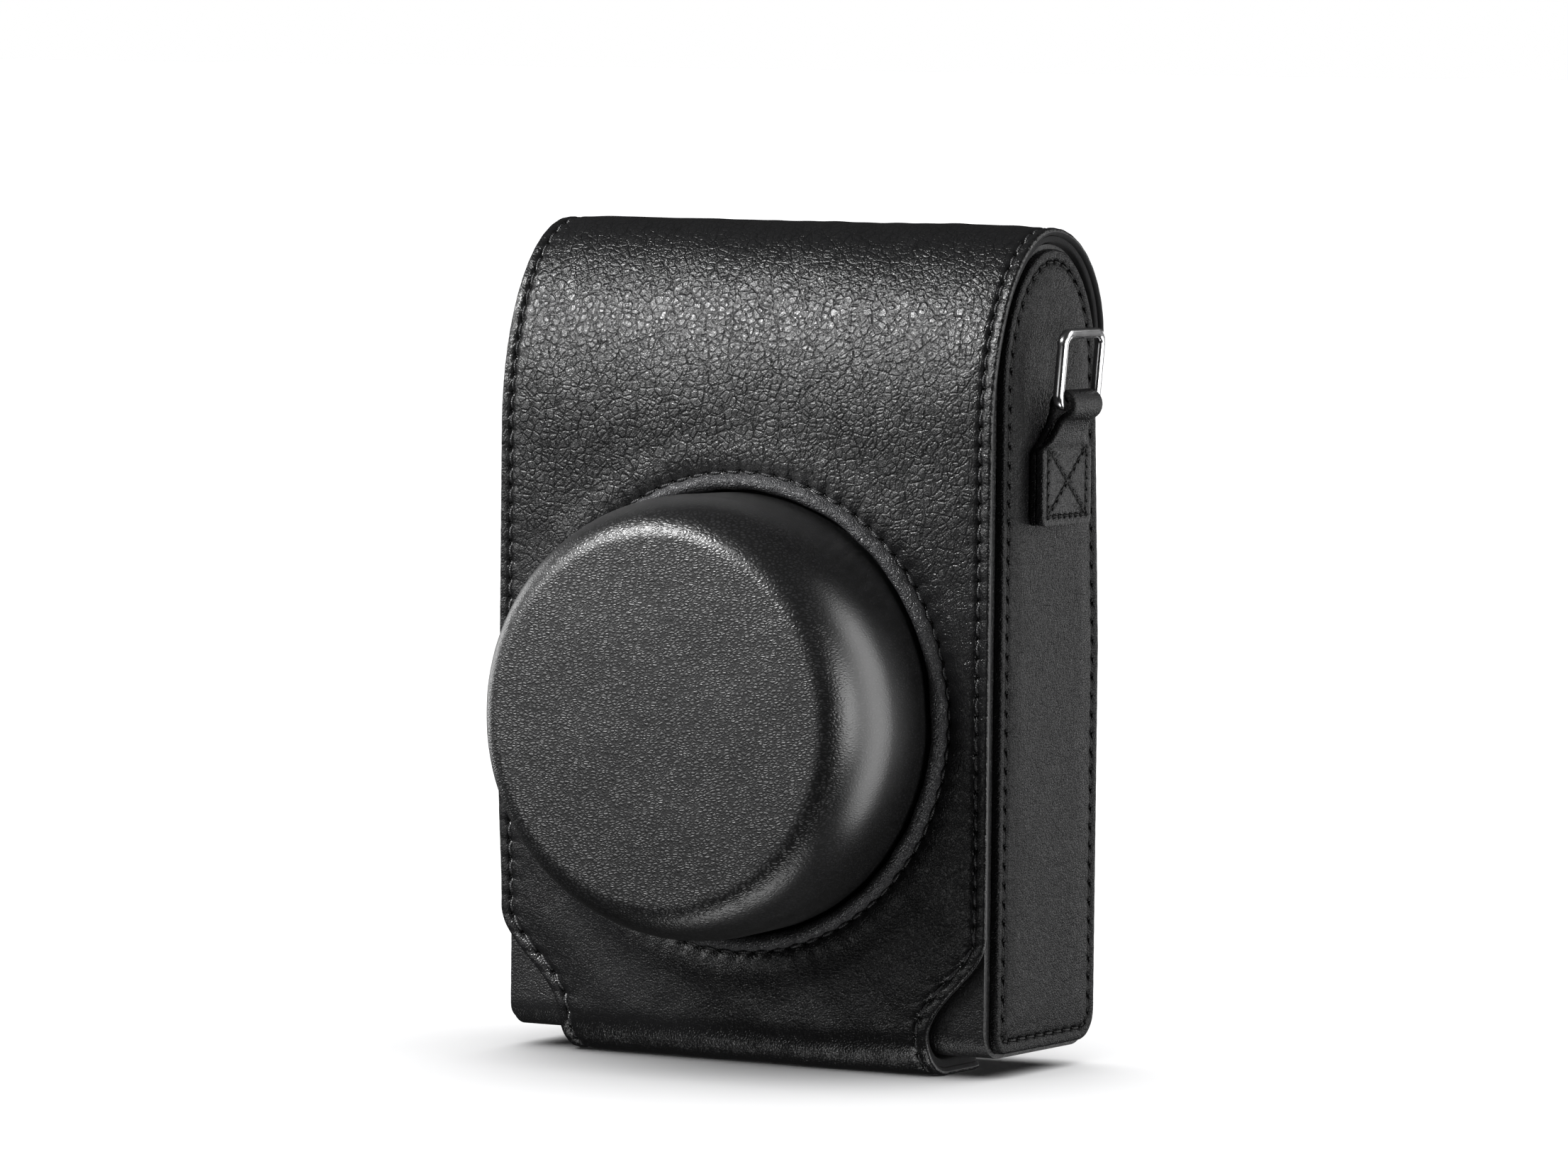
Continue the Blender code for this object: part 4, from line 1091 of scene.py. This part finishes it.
def strap_path():
    """The middle of the strap in (x, z): up behind, round the ring's bar and down in front."""
    back_x, front_x = LAYER_X
    loop = arc((RING_PIVOT.x, RING_PIVOT.z), 1.89 * MM, 180, -68, 34)
    foot_z = TAB_LOW.z + 0.2 * MM
    rise = bezier((back_x, 104.2 * MM), (back_x, 107.2 * MM), (loop[0, 0], 108.4 * MM), loop[0], 12)
    fall = bezier(loop[-1], (50.95 * MM, 108.75 * MM), (50.05 * MM, 106.6 * MM), (front_x, 103.6 * MM), 14)
    back = np.linspace((back_x, foot_z), rise[0], 12)[:-1]
    front = np.linspace(fall[-1], (front_x, foot_z), 34)[1:]
    return np.concatenate([back, rise, loop[1:], fall[1:], front])


def strap_half_width(z):
    """A wide foot with round lower corners, hollow shoulders, and the loop's width above them."""
    half = (TAB_HIGH.y - TAB_LOW.y) / 2
    corner = 1.2 * MM
    low = np.clip(corner - (z - TAB_LOW.z), 0, corner)
    rounded = corner - np.sqrt(corner**2 - low**2)
    into = np.clip((z - TAB_SHOULDER_Z) / (LOOP_FROM_Z - TAB_SHOULDER_Z), 0, 1)
    hollow = (half - LOOP_WIDTH / 2) * np.sqrt(1 - (1 - into) ** 2)
    return half - rounded - hollow


def box_and_cross():
    """The sewn box's four sides and two diagonals: the start of each in (y, z), its direction and length."""
    half = 6.6 * MM
    low, high = 92.6 * MM, 104.0 * MM
    corners = np.array([(-half, low), (half, low), (half, high), (-half, high)]) + (TAB_Y, 0)
    for start, end in ((0, 1), (1, 2), (2, 3), (3, 0), (0, 2), (1, 3)):
        line = corners[end] - corners[start]
        yield corners[start], unit(line), np.linalg.norm(line)


def tab_sewing(y, z):
    """The distance from the box and cross, and the phase along their stitches."""
    nearest = np.full(np.broadcast(y, z).shape, UNSEWN)
    phase = np.zeros_like(nearest)
    for start, along, length in box_and_cross():
        way = np.clip((y - start[0]) * along[0] + (z - start[1]) * along[1], 0, length)
        distance = np.hypot(y - start[0] - way * along[0], z - start[1] - way * along[1])
        phase = np.where(distance < nearest, way / length * round(length / TAB_PITCH), phase)
        nearest = np.minimum(nearest, distance)
    return nearest, phase


def tab_lift(y, z):
    """The lift of the tab's outer side where its box and cross are sewn."""
    distance, phase = tab_sewing(y, z)
    return -0.28 * MM * np.exp(-((distance / (0.45 * MM)) ** 2)) * (0.75 + 0.25 * np.cos(math.tau * phase))


def make_tab(prefix, side):
    """A strap doubled over the ring's bar, its two layers sewn together with a box and a cross."""
    path = strap_path()
    outward = leftward(np.gradient(path, axis=0))
    half = strap_half_width(path[:, 1])
    front_share = np.concatenate([[1, 0.99, 0.965], np.linspace(0.93, -0.93, 44), [-0.965, -0.99, -1]])
    back_share = np.concatenate([[-1, -0.97], np.linspace(-0.9, 0.9, 12), [0.97, 1]])
    share = np.concatenate([front_share, back_share])
    which = np.concatenate([np.ones(len(front_share)), -np.ones(len(back_share))])
    y = TAB_Y + half[:, None] * share
    rim = half[:, None] * (1 - np.abs(share))
    thick = STRAP / 2 + np.where(which > 0, round_over(rim, 0.45 * MM), round_over(rim, 0.12 * MM))
    z = np.broadcast_to(path[:, 1:2], y.shape)
    seen = (np.arange(len(path)) >= len(path) - TAB_SEWN_ROWS)[:, None] & (which > 0)
    grown = thick + np.where(seen, tab_lift(y, z), 0)
    place = path[:, None] + outward[:, None] * (which * grown)[..., None]
    rings = np.stack([side * place[..., 0], y, place[..., 1]], axis=-1)
    distance, phase = tab_sewing(y, z)
    sewing = np.stack([np.where(seen, distance, UNSEWN), phase, phase], axis=-1)
    grain = rings.reshape(-1, 3)[:, [1, 2, 0]]
    faces = tube_faces(rings.shape)
    tab = face_outward(new_object(prefix + "_strap_tab", rings, faces, TAB_LEATHER, grain, sewing))
    tab.data.set_sharp_from_angle(angle=math.radians(60))
    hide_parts(prefix + "_ring_tab")

    surface_x = LAYER_X[1] + STRAP / 2
    groups = [[], []]
    for start, along, length in box_and_cross():
        count = round(length / TAB_PITCH)
        middles = start + along * length * ((np.arange(count) + 0.5) / count)[:, None]
        for group, way in zip(groups, (-0.5, 0.5)):
            place = middles + along * way * TAB_STITCH_SHARE * length / count
            x = side * (surface_x + tab_lift(place[:, 0], place[:, 1]))
            group.append(np.column_stack([x, place]))
    groups = [np.concatenate(group) for group in groups]
    return [tab, side_thread(prefix + "_tab_stitches", groups, side, 0.17 * MM)]


def make_ring(prefix, side):
    """A rectangular ring of slightly squared wire, leaning out on the bar that the tab holds."""
    inner = RING_WIDTH / 2 - RING_CORNER
    top = RING_HEIGHT - RING_CORNER
    corners = ((inner, RING_CORNER, 270), (inner, top, 0), (-inner, top, 90), (-inner, RING_CORNER, 180))
    path = np.concatenate([arc((y, z), RING_CORNER, turn, turn + 90, 12) for y, z, turn in corners])
    pivot = Vector((side * RING_PIVOT.x, RING_PIVOT.y, RING_PIVOT.z))
    turn = Matrix.Rotation(side * RING_LEAN, 3, "Y")
    plane_y, plane_z = Vector((0, 1, 0)), turn @ Vector((0, 0, 1))
    facing = np.array(turn @ Vector((1, 0, 0)))
    centres = np.array([pivot + plane_y * y + plane_z * z for y, z in path])
    ahead = unit(np.roll(path, -1, axis=0) - np.roll(path, 1, axis=0))
    sides = ahead[:, 1:2] * np.array(plane_y) - ahead[:, 0:1] * np.array(plane_z)
    angle = np.arange(28) / 28 * math.tau
    squared = (np.abs(np.cos(angle)) ** 2.6 + np.abs(np.sin(angle)) ** 2.6) ** (-1 / 2.6)
    wire = RING_WIRE * (squared * np.stack([np.cos(angle), np.sin(angle)])).T
    rings = centres[:, None] + sides[:, None] * wire[:, :1] + facing * wire[:, 1:]
    faces = tube_faces(rings.shape, closed=True)
    ring = face_outward(new_object(prefix + "_wire_ring", rings, faces, CHROME))
    ring.data.set_sharp_from_angle(angle=math.radians(50))
    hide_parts(prefix + "_ring")
    return ring


# ---- The frame's own pieces, floor, light and camera ----


def finish_frame_pieces():
    """The boards, inner linings and magnet keep the frame's solids and take these materials."""
    finishes = {"board": BOARD, "lining": LINING, "magnet": STEEL, "keeper": STEEL}
    for name, node in frame["nodes"].items():
        material = finishes.get(name.split("_")[-1])
        if material and not node.hide_render:
            node.data.materials.clear()
            node.data.materials.append(material)
            store(node.data, "grain", [vert.co for vert in node.data.vertices])


def make_floor():
    half = 30
    corners = [(-half, -half, 0), (half, -half, 0), (half, half, 0), (-half, half, 0)]
    floor = new_object("floor", corners, [(0, 1, 2, 3)], pale_floor())
    floor.visible_diffuse = False
    floor.visible_glossy = False
    return floor


def direction_of(azimuth, elevation):
    """Unit vector from the object, azimuth 0 at the front and growing towards +X, in degrees."""
    azimuth, elevation = math.radians(azimuth), math.radians(elevation)
    flat = math.cos(elevation)
    return Vector((math.sin(azimuth) * flat, -math.cos(azimuth) * flat, math.sin(elevation)))


def make_softbox(name, azimuth, distance, height, size, power, lit):
    """A soft rectangular light at this distance round the case and height above the floor, turned to face it.
    It lights what is lit, and nothing else throws its shadow."""
    light = bpy.data.lights.new(name, "AREA")
    light.shape = "RECTANGLE"
    light.size, light.size_y = size
    light.energy = power
    obj = linked(name, light)
    obj.location = direction_of(azimuth, 0) * distance + Vector((0, 0, height))
    aim = obj.location - Vector((0, 0, TOP_Z / 2))
    obj.rotation_euler = aim.to_track_quat("Z", "Y").to_euler()
    obj.light_linking.receiver_collection = lit
    obj.light_linking.blocker_collection = lit


def receivers(name, floor, state):
    """What a light falls on: the floor alone, or everything except the floor."""
    group = bpy.data.collections.new(name)
    group.objects.link(floor)
    group.collection_objects[0].light_linking.link_state = state
    return group


def light_floor(floor):
    """A very soft sun on the floor alone, so that it is white and the dark leather isn't veiled."""
    light = bpy.data.lights.new("floor_light", "SUN")
    light.energy = 5.0
    light.angle = math.radians(115)
    sun = linked("floor_light", light)
    sun.light_linking.receiver_collection = receivers("only_floor", floor, "INCLUDE")


def make_sky():
    """A dim sky over the case, which the camera sees as white."""
    nodes = Nodes("studio", bpy.data.worlds, "Background")
    up = nodes.axes(nodes.add("TexCoord").outputs["Generated"])["Z"]
    dim = nodes.ranged(up, -0.1, 0.5, 0.01, 0.04)
    seen = nodes.add("LightPath").outputs["Is Camera Ray"]
    nodes.connect(nodes.shader.inputs["Strength"], nodes.math("MAXIMUM", dim, seen))
    nodes.connect(nodes.shader.inputs["Color"], (1, 1, 1, 1))
    bpy.context.scene.world = nodes.owner


def make_light(floor):
    """The white floor and sky, and softboxes round the case: a strong key high at the front left, a tall
    light at the right rear for the cup's shoulder, one below for the cup's lower rim, and weak fills."""
    light_floor(floor)
    make_sky()
    lit = receivers("all_but_floor", floor, "EXCLUDE")
    softboxes = (
        ("key", -39, 0.70, 0.65, (0.50, 0.11), 13.0),
        ("left", -46, 0.45, 0.22, (0.30, 0.24), 0.95),
        ("low_front", -14, 0.50, 0.03, (0.34, 0.12), 0.14),
        ("right", 86, 0.50, 0.10, (0.24, 0.30), 1.1),
        ("side", 125, 0.50, 0.09, (0.26, 0.80), 1.9),
        ("bounce", 15, 0.12, -0.40, (0.40, 0.14), 0.75),
        ("rear_right", 140, 0.50, 0.42, (0.30, 0.30), 0.2),
        ("rear", 178, 0.60, 0.06, (0.40, 0.25), 0.5),
        ("rear_left", -105, 0.60, 0.12, (0.30, 0.30), 0.9),
    )
    for softbox in softboxes:
        make_softbox(*softbox, lit)
    bpy.context.scene.view_settings.view_transform = "Standard"


def make_camera():
    """The photo's view: the point it looks at, the direction and distance, the roll and the lens."""
    target = Vector((-2.19, -1.24, 78.6)) * MM
    distance = 1486.5 * MM
    back = direction_of(30.05, 3.617)
    roll = math.radians(0.629)
    flat_right = Vector((-back.y, back.x, 0)).normalized()
    flat_up = back.cross(flat_right)
    right = math.cos(roll) * flat_right + math.sin(roll) * flat_up
    up = -math.sin(roll) * flat_right + math.cos(roll) * flat_up
    data = bpy.data.cameras.new("camera")
    data.lens = 203.3
    data.sensor_width = 36
    data.clip_start = 0.05
    camera = linked("camera", data)
    turn = Matrix((right, up, back)).transposed().to_4x4()
    camera.matrix_world = Matrix.Translation(target + back * distance) @ turn
    bpy.context.scene.camera = camera


def build():
    make_camera()
    make_light(make_floor())
    make_skin()
    make_flap_lining()
    make_flap_stitches()
    for piece in [*make_cup(), make_cup_stitches()]:
        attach(piece, "flap_front")
    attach(make_body(), "case")
    for prefix, side in (("left", -1), ("right", 1)):
        for piece in [*make_side_panel(prefix, side), *make_tab(prefix, side)]:
            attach(piece, "case")
        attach(make_ring(prefix, side), prefix + "_ring")
    finish_frame_pieces()


build()
